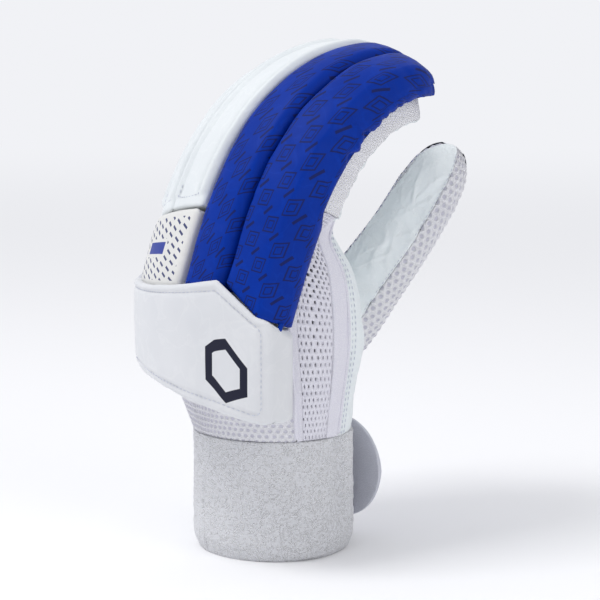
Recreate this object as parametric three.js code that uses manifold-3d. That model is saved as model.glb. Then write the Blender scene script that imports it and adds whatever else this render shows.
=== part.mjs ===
// A cricket batting glove for the right hand, standing on its wristband with the fingers curled.
// Millimetres, +Z up. The back of the hand faces -Y, the palm and the finger tips +Y.
// The thumb is on the -X side and the little finger on the +X side.
// The origin is on the floor, under the middle of the whole glove.
import * as THREE from 'three';
import { mergeVertices } from 'three/addons/utils/BufferGeometryUtils.js';
import Module from 'manifold-3d';

// Space left between two pieces that are sewn together.
const GAP = 0.3;

// Knitted tube round the wrist, with its lower hem tucked in.
const WRISTBAND = { height: 54, halfWidth: 37, halfDepth: 35, wall: 2.6, hemHeight: 13, hemTuck: 4.2 };

// Closing strap: its width is upright, and its round end stands off the band after a straight neck.
const STRAP = {
  width: 47,
  lyingWidth: 40,
  thickness: 2.2,
  neck: 3,
  lift: 8,
  centreHeight: 32,
  rootAngle: 222,
  leaveAngle: 186,
};

// Walls of the hand part.
const LEATHER_WALL = 1.8;
const MESH_WALL = 2.2;

// Key sizes of the hand between the wristband and the finger stalls.
const HAND = {
  rise: 106,
  halfWidth: 50,
  backDepth: 41.5,
  palmDepth: 44,
  lean: 18,
  shift: -9,
  setBack: -10.6,
};

// The curled back of the glove: sections are arches about an axis that bends towards the palm.
const ARCH = {
  length: 112,
  backRadius: 75,
  sideRadius: 78,
  tipBackRadius: 36,
  tipSideRadius: 51,
  axisForward: 16,
  axisRise: 44,
  lean: 18,
  tipLean: 69,
  bendPower: 2.9,
  backPower: 4,
  sidePower: 6,
  fan: 0.6,
};

// Padded rolls along the back of the fingers. Their tips turn down past a share of their length.
const ROLL = {
  thickness: 14,
  seat: 4,
  edgeDrop: 4,
  edgeShare: 0.14,
  groove: 0.5,
  endRound: 1.6,
  tipFrom: 0.9,
  tipDrop: 7,
};

// Lower ends of the rolls: lowest at the middle of the glove, and higher to both sides.
const LOWER_END = { along: -1, rise: 8.5, middleAngle: -12, spanAngle: 40 };

// The two side rolls: their lower ends run from above the finger roll's to below it, and their outer
// edges fall away as a flank.
const SIDE_ROLL = {
  innerRise: 3,
  outerEnd: -7,
  flankShare: 0.26,
  flankDrop: 6,
  flankGrowth: 1,
  tipSpread: 2.5,
};

// Pads below the rolls. inset is the badge's distance from the roll seams beside it, in degrees, and
// roundness is how sharply a pad turns down to its edge.
const BADGE = { top: 32, topSlope: 7, proud: 1.2, inset: 0.3, edge: 3, roundness: 15.6 };
const CUFF = {
  thickness: 14,
  from: -66,
  to: 48,
  topGap: 2.5,
  lowEnd: 66,
  lowMiddle: 83,
  middleAngle: -20,
  lowPower: 1.15,
  edge: 4,
  roundness: 19.2,
};

// Finger stalls start where the palm divides, and taper to the tips. domeShare is the tip's length as a
// share of its half depth.
const STALL = {
  start: 47,
  baseDepth: 29,
  tipDepth: 23,
  tipMargin: 1.5,
  domeShare: 0.8,
  seamDepth: 0.66,
  square: 2.8,
};

// How far the bodies that cut and part the stalls and the thumb reach past them.
const OVERREACH = { hand: 4, end: 6, side: 8, thumb: 0.1 };

// Thumb stall and the two hard-filled shells on its outer side.
const THUMB = {
  reach: new THREE.Vector3(30, 76, 104),
  root: new THREE.Vector3(-28, 22, 73),
  outward: new THREE.Vector3(-0.84, 0.54, 0),
  baseHalf: 19,
  tipHalf: 13.5,
  flat: 0.95,
  square: 2.3,
  leatherFrom: 98,
  leatherTo: 232,
};
const THUMB_SHELL = {
  thickness: 11,
  flank: 1.5,
  halfAngle: 76,
  square: 3.2,
  edge: 3,
  roundness: 18,
  split: 0.52,
  baseStart: 0.2,
  tipEnd: 0.985,
};

// Rolls and stalls, counted round the back from the thumb side. Angles are degrees from the middle of
// the back, positive to the little finger. Each roll starts where the one before it ends.
const ROLLS_FROM = -70;
const ROLL_TABLE = [
  { name: 'radial_side_roll', to: -50.5, place: 'side', finish: 'blue' },
  { name: 'index_roll', to: -31.5, place: 'finger', finish: 'blue' },
  { name: 'middle_roll', to: -12, place: 'badge', finish: 'white' },
  { name: 'ring_roll', to: 8.5, place: 'badge', finish: 'white' },
  { name: 'little_roll', to: 26, place: 'finger', finish: 'blue' },
  { name: 'ulnar_side_roll', to: 47, place: 'side', finish: 'blue' },
];
const ROLLS = ROLL_TABLE.map((roll, i) => ({ ...roll, from: i === 0 ? ROLLS_FROM : ROLL_TABLE[i - 1].to }));
const BADGE_ROLLS = ROLLS.filter((roll) => roll.place === 'badge');
const BADGE_FROM = BADGE_ROLLS[0].from;
const BADGE_TO = BADGE_ROLLS[BADGE_ROLLS.length - 1].to;
const STALLS = [
  { name: 'index', from: -65, to: -32, length: 0.98 },
  { name: 'middle', from: -31, to: -12.5, length: 1 },
  { name: 'ring', from: -11.5, to: 8, length: 1 },
  { name: 'little', from: 9, to: 44, length: 0.98 },
];

// Sections of the hand. rise is the share of HAND.rise; spread, back and palm say how far each size
// has gone from the wristband's to the hand's; taper is how far the back has thinned to the stalls.
const HAND_SECTIONS = [
  { rise: 0, spread: 0, back: 0, palm: 0, backTaper: 0, palmTaper: 0, lean: 0, square: 2 },
  { rise: 0.19, spread: 0.5, back: 0.65, palm: 0.25, backTaper: 0, palmTaper: 0, lean: 0.1, square: 2.15 },
  { rise: 0.4, spread: 0.85, back: 1, palm: 0.9, backTaper: 0, palmTaper: 0, lean: 0.3, square: 2.3 },
  { rise: 0.6, spread: 1, back: 1, palm: 1, backTaper: 0.31, palmTaper: 0, lean: 0.65, square: 2.5 },
  { rise: 0.75, spread: 1, back: 1, palm: 1, backTaper: 0.56, palmTaper: 0.04, lean: 0.9, square: 2.6 },
  { rise: 0.88, spread: 1, back: 1, palm: 1, backTaper: 0.78, palmTaper: 0.34, lean: 1.1, square: 2.6 },
];

// Seams of the hand, in degrees round its section from the middle of the back. Both sides are alike.
const BACK = 76;
const PALM = 113;
const PANELS = [
  { name: 'back_mesh', from: -BACK, to: BACK, wall: MESH_WALL, columns: 17, finish: 'mesh' },
  { name: 'ulnar_gusset', from: BACK, to: PALM, wall: MESH_WALL, columns: 5, finish: 'mesh' },
  { name: 'palm_leather', from: PALM, to: 360 - PALM, wall: LEATHER_WALL, columns: 15, finish: 'leather' },
  { name: 'radial_gusset', from: 360 - PALM, to: 360 - BACK, wall: MESH_WALL, columns: 5, finish: 'mesh' },
];

// Centre line of the thumb, as shares of THUMB.reach from its root, and its half width.
const THUMB_LINE = [
  { x: 0, y: 0, z: 0, half: 1.02 },
  { x: 0.12, y: 0.36, z: 0.2, half: 1 },
  { x: 0.3, y: 0.56, z: 0.4, half: 0.93 },
  { x: 0.54, y: 0.73, z: 0.6, half: 0.87 },
  { x: 0.76, y: 0.86, z: 0.79, half: 0.84 },
  { x: 1, y: 1, z: 1, half: 0.8 },
];

const wasm = await Module();
wasm.setup();

const radians = THREE.MathUtils.degToRad;
const lerp = THREE.MathUtils.lerp;
const clamp = THREE.MathUtils.clamp;

// Evenly spaced numbers from a to b.
function spaced(a, b, count) {
  return Array.from({ length: count }, (_, i) => lerp(a, b, i / (count - 1)));
}

// Signed power, for rounded-rectangle sections.
function signedPower(value, power) {
  return Math.sign(value) * Math.abs(value) ** power;
}

// Closed geometry from points and triangles, turned so that its faces point out.
function closedGeometry(points, triangles) {
  let volume = 0;
  for (const [a, b, c] of triangles) {
    const cross = points[b].clone().cross(points[c]);
    volume += points[a].dot(cross);
  }
  const ordered = volume < 0 ? triangles.map(([a, b, c]) => [a, c, b]) : triangles;
  const geometry = new THREE.BufferGeometry();
  geometry.setAttribute('position', new THREE.Float32BufferAttribute(points.flatMap((p) => p.toArray()), 3));
  geometry.setIndex(ordered.flat());
  return geometry;
}

// Closed wall or pad between two grids of points with the same rows and columns.
function slab(outer, inner, wrap = false) {
  const rows = outer.length;
  const columns = outer[0].length;
  const points = [...outer.flat(), ...inner.flat()];
  const at = (side, i, j) => side * rows * columns + i * columns + (j % columns);
  const triangles = [];
  const quad = (a, b, c, d) => triangles.push([a, b, c], [a, c, d]);
  const across = wrap ? columns : columns - 1;
  for (let i = 0; i < rows - 1; i += 1) {
    for (let j = 0; j < across; j += 1) {
      quad(at(0, i, j), at(0, i, j + 1), at(0, i + 1, j + 1), at(0, i + 1, j));
      quad(at(1, i, j), at(1, i + 1, j), at(1, i + 1, j + 1), at(1, i, j + 1));
    }
  }
  for (let j = 0; j < across; j += 1) {
    quad(at(0, 0, j), at(1, 0, j), at(1, 0, j + 1), at(0, 0, j + 1));
    quad(at(0, rows - 1, j), at(0, rows - 1, j + 1), at(1, rows - 1, j + 1), at(1, rows - 1, j));
  }
  if (!wrap) {
    const last = columns - 1;
    for (let i = 0; i < rows - 1; i += 1) {
      quad(at(0, i, 0), at(0, i + 1, 0), at(1, i + 1, 0), at(1, i, 0));
      quad(at(0, i, last), at(1, i, last), at(1, i + 1, last), at(0, i + 1, last));
    }
  }
  return closedGeometry(points, triangles);
}

// Closed body through a stack of convex rings, with a fan over each end.
function stack(rings) {
  const columns = rings[0].length;
  const points = rings.flat();
  const triangles = [];
  for (let i = 0; i < rings.length - 1; i += 1) {
    for (let j = 0; j < columns; j += 1) {
      const next = (j + 1) % columns;
      const a = i * columns + j;
      const b = i * columns + next;
      triangles.push([a, b, b + columns], [a, b + columns, a + columns]);
    }
  }
  for (const [ring, turned] of [[0, true], [rings.length - 1, false]]) {
    const centre = points.length;
    const middle = new THREE.Vector3();
    rings[ring].forEach((p) => middle.addScaledVector(p, 1 / columns));
    points.push(middle);
    for (let j = 0; j < columns; j += 1) {
      const a = ring * columns + j;
      const b = ring * columns + ((j + 1) % columns);
      triangles.push(turned ? [centre, b, a] : [centre, a, b]);
    }
  }
  return closedGeometry(points, triangles);
}

// Solid for joining and cutting, from a closed geometry.
function toSolid(geometry) {
  const merged = mergeVertices(geometry, 1e-4);
  return new wasm.Manifold(new wasm.Mesh({
    numProp: 3,
    vertProperties: new Float32Array(merged.attributes.position.array),
    triVerts: new Uint32Array(merged.index.array),
  }));
}

// Largest closed body of a solid, as a geometry. Crumbs left by a cut are dropped.
function toGeometry(solid) {
  const bodies = solid.decompose();
  bodies.sort((a, b) => b.volume() - a.volume());
  const mesh = bodies[0].getMesh();
  const geometry = new THREE.BufferGeometry();
  geometry.setAttribute('position', new THREE.Float32BufferAttribute(mesh.vertProperties, mesh.numProp));
  geometry.setIndex(Array.from(mesh.triVerts));
  return geometry;
}

// Lean of the arch's axis at a length along it, in radians. Below the rolls the axis is straight.
function archLean(along) {
  const share = clamp(along / ARCH.length, 0, 1);
  return radians(lerp(ARCH.lean, ARCH.tipLean, share ** ARCH.bendPower));
}

// Point of the arch's axis at a length along it.
function archAxis(along) {
  const steps = 48;
  const step = along / steps;
  const point = new THREE.Vector3(0, ARCH.axisForward, WRISTBAND.height + ARCH.axisRise);
  for (let i = 0; i < steps; i += 1) {
    const lean = archLean(step * (i + 0.5));
    point.y += Math.sin(lean) * step;
    point.z += Math.cos(lean) * step;
  }
  return point;
}

// Point under the outer surface of the back: length along, degrees round, depth into the glove.
function archPoint(along, angle, depth) {
  const share = clamp(along / ARCH.length, 0, 1);
  const back = lerp(ARCH.backRadius, ARCH.tipBackRadius, share ** ARCH.backPower);
  const side = lerp(ARCH.sideRadius, ARCH.tipSideRadius, share ** ARCH.sidePower);
  const turn = radians(angle);
  const fanned = turn * ARCH.fan;
  const across = side * Math.sin(turn) - depth * Math.sin(fanned);
  const out = back * Math.cos(turn) - depth * Math.cos(fanned);
  const lean = archLean(along);
  const axis = archAxis(along);
  return new THREE.Vector3(across, axis.y - out * Math.cos(lean), axis.z + out * Math.sin(lean));
}

// Depth of the middle of the finger stalls under the outer surface, and their half depth.
function stallHalfDepth(along) {
  const share = clamp((along - STALL.start) / (ARCH.length - STALL.start), 0, 1);
  return lerp(STALL.baseDepth, STALL.tipDepth, share) / 2;
}

function stallMiddle(along) {
  return ROLL.thickness + GAP + stallHalfDepth(along);
}

// Ring of the hand where the stalls start: a flat oval bent along the arch.
function knuckleRing(angles, grow) {
  const from = STALLS[0].from;
  const to = STALLS[STALLS.length - 1].to;
  const middle = stallMiddle(STALL.start);
  const half = stallHalfDepth(STALL.start);
  const degree = Math.PI * (ARCH.sideRadius - middle) / 180;
  return angles.map((angle) => {
    const turn = radians(angle);
    const across = signedPower(Math.sin(turn), 2 / STALL.square);
    const out = signedPower(Math.cos(turn), 2 / STALL.square);
    const place = (from + to) / 2 + across * ((to - from) / 2 + grow / degree);
    return archPoint(STALL.start - GAP / 2, place, middle - out * (half + grow));
  });
}

// Ring of the hand at one row of the section table.
function handRing(row, angles, grow) {
  const knuckleHalf = STALL.baseDepth / 2;
  const width = lerp(WRISTBAND.halfWidth, HAND.halfWidth, row.spread) + grow;
  const backFull = lerp(WRISTBAND.halfDepth, HAND.backDepth, row.back);
  const palmFull = lerp(WRISTBAND.halfDepth, HAND.palmDepth, row.palm);
  const back = lerp(backFull, knuckleHalf, row.backTaper) + grow;
  const palm = lerp(palmFull, knuckleHalf, row.palmTaper) + grow;
  const lean = radians(HAND.lean * row.lean);
  const centre = new THREE.Vector3(
    HAND.shift * row.rise,
    HAND.setBack * row.rise,
    WRISTBAND.height + GAP + HAND.rise * row.rise,
  );
  return angles.map((angle) => {
    const turn = radians(angle);
    const across = width * signedPower(Math.sin(turn), 2 / row.square);
    const cosine = signedPower(Math.cos(turn), 2 / row.square);
    const out = (cosine > 0 ? back : palm) * cosine;
    return new THREE.Vector3(
      centre.x + across,
      centre.y - out * Math.cos(lean),
      centre.z + out * Math.sin(lean),
    );
  });
}

// Rings of the whole hand, from the wristband to the stalls, smoothed between the table's rows.
function handRings(angles, grow, count = 10) {
  const keys = HAND_SECTIONS.map((row) => handRing(row, angles, grow));
  keys.push(knuckleRing(angles, grow));
  const curves = angles.map((_, j) => {
    return new THREE.CatmullRomCurve3(keys.map((ring) => ring[j]), false, 'centripetal');
  });
  return spaced(0, 1, count).map((share) => curves.map((curve) => curve.getPoint(share)));
}

// Angles of a panel's columns, clear of the seams at its sides.
function panelAngles(panel) {
  const margin = THREE.MathUtils.radToDeg(GAP / 2 / WRISTBAND.halfWidth);
  return spaced(panel.from + margin, panel.to - margin, panel.columns);
}

// Panel of the hand, as a wall.
function handPanel(panel) {
  const angles = panelAngles(panel);
  return slab(handRings(angles, 0), handRings(angles, -panel.wall));
}

// Solid hand, without its hollow, grown by a clearance.
function handSolid(grow) {
  return toSolid(stack(handRings(PANELS.flatMap(panelAngles), grow)));
}

// Ring of a finger stall at a length along the arch; rounding closes the tip.
function stallRing(stall, along, grow, rounding, sides = 10) {
  const half = stallHalfDepth(along);
  const middle = stallMiddle(along);
  const centreAngle = (stall.from + stall.to) / 2;
  const left = archPoint(along, stall.from, middle);
  const right = archPoint(along, stall.to, middle);
  const halfWidth = left.distanceTo(right) / 2 - GAP / 2 + grow;
  const centre = archPoint(along, centreAngle, middle);
  const outward = archPoint(along, centreAngle, middle - 1).sub(centre);
  const sideways = right.clone().sub(left).normalize();
  return spaced(0, 360, sides + 1).slice(0, sides).map((angle) => {
    const turn = radians(angle);
    const across = signedPower(Math.sin(turn), 2 / STALL.square) * halfWidth * rounding;
    const out = signedPower(Math.cos(turn), 2 / STALL.square) * (half + grow) * rounding;
    return centre.clone().addScaledVector(sideways, across).addScaledVector(outward, out);
  });
}

// Solid stall, grown by a clearance, with a rounded tip.
function stallSolid(stall, grow, start = STALL.start + GAP / 2) {
  const end = ARCH.length * stall.length - STALL.tipMargin + grow;
  const tip = stallHalfDepth(end) * STALL.domeShare;
  const rings = spaced(start, end - tip, 6).map((along) => stallRing(stall, along, grow, 1));
  for (const turn of [35, 68]) {
    const along = end - tip + tip * Math.sin(radians(turn));
    rings.push(stallRing(stall, along, grow, Math.cos(radians(turn))));
  }
  return toSolid(stack(rings));
}

// Everything on the palm side of a stall's side seam.
function stallPalmSide(stall, clearance) {
  const rings = spaced(STALL.start - OVERREACH.end, ARCH.length + OVERREACH.end, 10).map((along) => {
    const seam = ROLL.thickness + stallHalfDepth(along) * 2 * STALL.seamDepth - clearance;
    const deep = ROLL.thickness + STALL.baseDepth + OVERREACH.hand;
    return [
      archPoint(along, stall.from - OVERREACH.side, seam),
      archPoint(along, stall.to + OVERREACH.side, seam),
      archPoint(along, stall.to + OVERREACH.side, deep),
      archPoint(along, stall.from - OVERREACH.side, deep),
    ];
  });
  return toSolid(stack(rings));
}

// Section of a roll: shares across its width, each with its depth under the crown.
function rollProfile(roll) {
  const flank = { edge: SIDE_ROLL.flankShare, fall: SIDE_ROLL.flankDrop };
  const plain = { edge: ROLL.edgeShare, fall: ROLL.edgeDrop };
  const left = roll.place === 'side' && roll.from < 0 ? flank : plain;
  const right = roll.place === 'side' && roll.from > 0 ? flank : plain;
  return [
    { across: 0, drop: left.fall },
    { across: left.edge * 0.3, drop: left.fall * 0.4 },
    { across: left.edge, drop: left.fall * 0.08 },
    { across: 0.5, drop: 0 },
    { across: 1 - right.edge, drop: right.fall * 0.08 },
    { across: 1 - right.edge * 0.3, drop: right.fall * 0.4 },
    { across: 1, drop: right.fall },
  ];
}

// Lower end of the back's pads at an angle round it, as a length along the arch.
function lowerEnd(angle) {
  const away = (angle - LOWER_END.middleAngle) / LOWER_END.spanAngle;
  return LOWER_END.along + LOWER_END.rise * away ** 2;
}

// Lower end of a roll at a share across its width, as a length along the arch.
function rollLowerEnd(roll, across) {
  const angle = lerp(roll.from, roll.to, across);
  if (roll.place === 'side') {
    const inner = roll.from < 0 ? roll.to : roll.from;
    const outward = roll.from < 0 ? 1 - across : across;
    return lerp(lowerEnd(inner) + SIDE_ROLL.innerRise, SIDE_ROLL.outerEnd, outward);
  }
  return roll.place === 'badge' ? badgeTop(angle) + ROLL.groove : lowerEnd(angle);
}

// Upper edge of the badge pad at an angle round the back.
function badgeTop(angle) {
  const across = (angle - BADGE_FROM) / (BADGE_TO - BADGE_FROM);
  return BADGE.top + BADGE.topSlope * (across - 0.5);
}

// A padded roll along the back, seated on the hand and on the stall below it.
function rollGeometry(roll, cutters) {
  const profile = rollProfile(roll);
  const rows = [0, 0.02, 0.14, 0.3, 0.45, 0.58, 0.7, 0.8, 0.89, 0.96, 1];
  const outward = roll.from < 0 ? -1 : 1;
  const place = (along, across) => {
    const share = clamp(along / ARCH.length, 0, 1);
    const gap = THREE.MathUtils.radToDeg(ROLL.groove / 2 / lerp(ARCH.sideRadius, ARCH.tipSideRadius, share));
    const spread = roll.place === 'side' ? SIDE_ROLL.tipSpread * share ** 2 * outward : 0;
    const low = roll.from + gap + (outward < 0 ? spread : 0);
    const high = roll.to - gap + (outward > 0 ? spread : 0);
    return lerp(low, high, across);
  };
  const grid = (inner) => rows.map((row) => profile.map(({ across, drop }) => {
    const start = rollLowerEnd(roll, across);
    const along = lerp(start, ARCH.length, row);
    const share = clamp(along / ARCH.length, 0, 1);
    const round = (row === 0 || row === 1) ? ROLL.endRound : 0;
    const tip = clamp((row - ROLL.tipFrom) / (1 - ROLL.tipFrom), 0, 1) ** 2 * ROLL.tipDrop;
    const outwardShare = roll.from < 0 ? 1 - across : across;
    const flank = roll.place === 'side' ? SIDE_ROLL.flankGrowth * share * outwardShare : 0;
    const seat = along < STALL.start ? ROLL.seat : 0;
    const depth = inner ? ROLL.thickness + flank + seat : drop + round + tip;
    return archPoint(along, place(along, across), depth);
  }));
  let solid = toSolid(slab(grid(false), grid(true)));
  cutters.forEach((cutter) => {
    solid = solid.subtract(cutter);
  });
  return toGeometry(solid);
}

// How far a point of a pad is rounded down, from its shares across and up.
function padRounding(across, up, roundness) {
  return Math.max(Math.abs(2 * across - 1), Math.abs(2 * up - 1)) ** roundness;
}

// Badge pad over the lower ends of the white rolls.
function badgeGeometry(hand) {
  const shares = [0, 0.03, 0.1, 0.36, 0.64, 0.9, 0.97, 1];
  const grid = (inner) => shares.map((up) => shares.map((across) => {
    const angle = lerp(BADGE_FROM + BADGE.inset, BADGE_TO - BADGE.inset, across);
    const along = lerp(lowerEnd(angle), badgeTop(angle) - ROLL.groove, up);
    const rounding = padRounding(across, up, BADGE.roundness) * BADGE.edge;
    return archPoint(along, angle, inner ? ROLL.thickness + ROLL.seat : rounding - BADGE.proud);
  }));
  return toGeometry(toSolid(slab(grid(false), grid(true))).subtract(hand));
}

// Lowest end of what lies above the cuff pad at an angle round the back.
function aboveCuff(angle) {
  const first = ROLLS[0];
  const last = ROLLS[ROLLS.length - 1];
  if (angle > first.to && angle < last.from) {
    return lowerEnd(angle);
  }
  const side = angle < 0 ? first : last;
  return Math.min(lowerEnd(angle), rollLowerEnd(side, (angle - side.from) / (side.to - side.from)));
}

// Upper and lower edges of the cuff pad at an angle round the back.
function cuffTop(angle, y) {
  const lean = radians(ARCH.lean);
  const axis = WRISTBAND.height + ARCH.axisRise;
  const along = aboveCuff(angle) - CUFF.topGap;
  return axis + (ARCH.axisForward - y) * Math.tan(lean) + along / Math.cos(lean);
}

function cuffBottom(angle) {
  const away = Math.abs(angle - CUFF.middleAngle) / (CUFF.to - CUFF.middleAngle);
  return lerp(CUFF.lowMiddle, CUFF.lowEnd, away ** CUFF.lowPower);
}

// Cuff pad over the back of the hand, upright and curved like the arch above it.
function cuffGeometry(hand) {
  const acrossShares = [0, 0.02, 0.08, 0.22, 0.36, 0.5, 0.64, 0.78, 0.92, 0.98, 1];
  const upShares = [0, 0.04, 0.16, 0.5, 0.84, 0.96, 1];
  const grid = (inner) => upShares.map((up) => acrossShares.map((across) => {
    const angle = lerp(CUFF.from, CUFF.to, across);
    const rounding = padRounding(across, up, CUFF.roundness);
    const depth = inner ? CUFF.thickness + ROLL.seat : rounding * CUFF.edge;
    const turn = radians(angle);
    const fanned = turn * ARCH.fan;
    const x = ARCH.sideRadius * Math.sin(turn) - depth * Math.sin(fanned);
    const y = ARCH.axisForward - ARCH.backRadius * Math.cos(turn) + depth * Math.cos(fanned);
    const z = lerp(cuffBottom(angle), cuffTop(angle, y), up);
    return new THREE.Vector3(x, y, z);
  }));
  return toGeometry(toSolid(slab(grid(false), grid(true))).subtract(hand));
}

// Knitted band, open at both ends, with a flat rim to stand on.
function wristbandGeometry() {
  const angles = spaced(0, 360, 33).slice(0, 32);
  const heights = [0, 0.35, 0.7, 1].map((share) => share * WRISTBAND.hemHeight);
  heights.push(WRISTBAND.height);
  const ring = (height, inset) => angles.map((angle) => {
    const turn = radians(angle);
    const tuck = WRISTBAND.hemTuck * clamp(1 - height / WRISTBAND.hemHeight, 0, 1) ** 2;
    const width = WRISTBAND.halfWidth - tuck - inset;
    const depth = WRISTBAND.halfDepth - tuck - inset;
    return new THREE.Vector3(width * Math.sin(turn), -depth * Math.cos(turn), height);
  });
  return slab(heights.map((h) => ring(h, 0)), heights.map((h) => ring(h, WRISTBAND.wall)), true);
}

// Strap: it lies on the band on the palm side, then leaves it and ends in a half circle.
function strapGeometry() {
  const bandPoint = (angle, off) => {
    const turn = radians(angle);
    return new THREE.Vector2(
      (WRISTBAND.halfWidth + off) * Math.sin(turn),
      -(WRISTBAND.halfDepth + off) * Math.cos(turn),
    );
  };
  const clear = GAP + STRAP.thickness / 2;
  const lying = spaced(STRAP.rootAngle, STRAP.leaveAngle, 5).map((angle) => bandPoint(angle, clear));
  const leave = lying[lying.length - 1];
  const radius = STRAP.width / 2;
  const length = radius + STRAP.neck;
  const heading = new THREE.Vector2(length, STRAP.lift).normalize();
  const free = [0.15, 0.4, 0.6, 0.76, 0.88, 0.96, 1].map((share) => {
    return leave.clone().addScaledVector(heading, share * length);
  });
  const line = [...lying, ...free];
  const roundFrom = lying.length + 1;
  const run = line.map((p, i) => (i < roundFrom ? 0 : p.distanceTo(line[roundFrom - 1])));
  const full = run[run.length - 1];
  const half = run.map((r, i) => {
    const widest = i < roundFrom - 1 ? STRAP.lyingWidth / 2 : radius;
    return widest * Math.sqrt(Math.max(0.004, 1 - (r / full) ** 2));
  });
  const levels = [-1, -0.5, 0, 0.5, 1];
  const side = (sign) => line.map((p, i) => {
    const before = line[Math.max(i - 1, 0)];
    const after = line[Math.min(i + 1, line.length - 1)];
    const along = after.clone().sub(before).normalize();
    const at = new THREE.Vector2(along.y, -along.x).multiplyScalar(sign * STRAP.thickness / 2).add(p);
    return levels.map((level) => new THREE.Vector3(at.x, at.y, STRAP.centreHeight + level * half[i]));
  });
  return slab(side(1), side(-1));
}

// Smooth centre line of the thumb and its frame: along, out to the shells, and sideways.
const thumbCurve = new THREE.CatmullRomCurve3(THUMB_LINE.map(({ x, y, z }) => new THREE.Vector3(
  THUMB.root.x + x * THUMB.reach.x,
  THUMB.root.y + y * THUMB.reach.y,
  THUMB.root.z + z * THUMB.reach.z,
)), false, 'centripetal');

function thumbHalf(share) {
  const place = clamp(share, 0, 1) * (THUMB_LINE.length - 1);
  const row = Math.min(Math.floor(place), THUMB_LINE.length - 2);
  const scale = lerp(THUMB_LINE[row].half, THUMB_LINE[row + 1].half, place - row);
  return THUMB.baseHalf * scale;
}

// How far the thumb's dome has closed at a share of its length: 1 below the dome, 0 at the tip.
function thumbClosing(share, square) {
  const dome = THUMB.tipHalf / thumbCurve.getLength();
  const into = clamp((share - 1 + dome) / dome, 0, 1);
  return (1 - into ** square) ** (1 / square);
}

// Point round the thumb: its share along, degrees from the shells' side, half depth and half width.
function thumbPoint(share, angle, depth, width = depth * THUMB.flat, square = THUMB.square) {
  const inside = clamp(share, 0, 1);
  const centre = thumbCurve.getPoint(inside);
  const along = thumbCurve.getTangent(inside);
  centre.addScaledVector(along, (share - inside) * thumbCurve.getLength());
  const out = THUMB.outward.clone().addScaledVector(along, -THUMB.outward.dot(along)).normalize();
  const sideways = along.clone().cross(out);
  const turn = radians(angle);
  const across = signedPower(Math.sin(turn), 2 / square) * width;
  const outwards = signedPower(Math.cos(turn), 2 / square) * depth;
  return centre.addScaledVector(out, outwards).addScaledVector(sideways, across);
}

function thumbSolid(grow) {
  const angles = spaced(0, 360, 13).slice(0, 12);
  const tip = THUMB.tipHalf / thumbCurve.getLength();
  const end = 1 + grow / thumbCurve.getLength();
  const rings = spaced(0, end - tip, 7).map((share) => angles.map((angle) => {
    return thumbPoint(share, angle, thumbHalf(share) + grow);
  }));
  for (const turn of [30, 56, 76]) {
    const share = end - tip + tip * Math.sin(radians(turn));
    const radius = (thumbHalf(share) + grow) * Math.cos(radians(turn));
    rings.push(angles.map((angle) => thumbPoint(share, angle, radius)));
  }
  return toSolid(stack(rings));
}

// Wedge of space round the thumb between two angles.
function thumbWedge(from, to) {
  const reach = THUMB.baseHalf * 2;
  const rings = spaced(-OVERREACH.thumb, 1 + OVERREACH.thumb, 9).map((share) => {
    const outer = spaced(from, to, 4).map((angle) => thumbPoint(share, angle, reach));
    return [thumbPoint(share, 0, 0), ...outer];
  });
  return toSolid(stack(rings));
}

// Hard-filled shell on the outer side of the thumb, between two shares of its length.
function thumbShellGeometry(from, to, cutters) {
  const acrossShares = [0, 0.1, 0.24, 0.36, 0.5, 0.64, 0.76, 0.9, 1];
  const upShares = [0, 0.05, 0.18, 0.5, 0.78, 0.9, 1];
  const grid = (inner) => upShares.map((up) => acrossShares.map((across) => {
    const angle = lerp(-THUMB_SHELL.halfAngle, THUMB_SHELL.halfAngle, across);
    const share = lerp(from, to, up);
    const half = thumbHalf(share);
    if (inner) {
      return thumbPoint(share, angle, half * thumbClosing(share, 2) - LEATHER_WALL);
    }
    const rounding = padRounding(0.5, up, THUMB_SHELL.roundness) * THUMB_SHELL.edge;
    const closing = thumbClosing(share, THUMB_SHELL.square);
    const depth = (half + THUMB_SHELL.thickness - rounding) * closing;
    const width = (half * THUMB.flat + THUMB_SHELL.flank) * closing;
    return thumbPoint(share, angle, depth, width, THUMB_SHELL.square);
  }));
  let solid = toSolid(slab(grid(false), grid(true)));
  cutters.forEach((cutter) => {
    solid = solid.subtract(cutter);
  });
  return toGeometry(solid);
}

const COLOURS = {
  knit: { color: 0xcfcfd2, roughness: 0.95 },
  strap: { color: 0xb5b7c2, roughness: 0.95 },
  mesh: { color: 0xe2dfe8, roughness: 0.85 },
  leather: { color: 0xe8eded, roughness: 0.55 },
  white: { color: 0xe6e8ea, roughness: 0.45 },
  badge: { color: 0xe1e1de, roughness: 0.45 },
  blue: { color: 0x123c9e, roughness: 0.42 },
  navy: { color: 0x111c33, roughness: 0.45 },
};

// One named piece with its own material.
function piece(name, geometry, finish) {
  const material = new THREE.MeshStandardMaterial({ ...COLOURS[finish], metalness: 0 });
  const mesh = new THREE.Mesh(geometry, material);
  mesh.name = name;
  return mesh;
}

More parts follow.
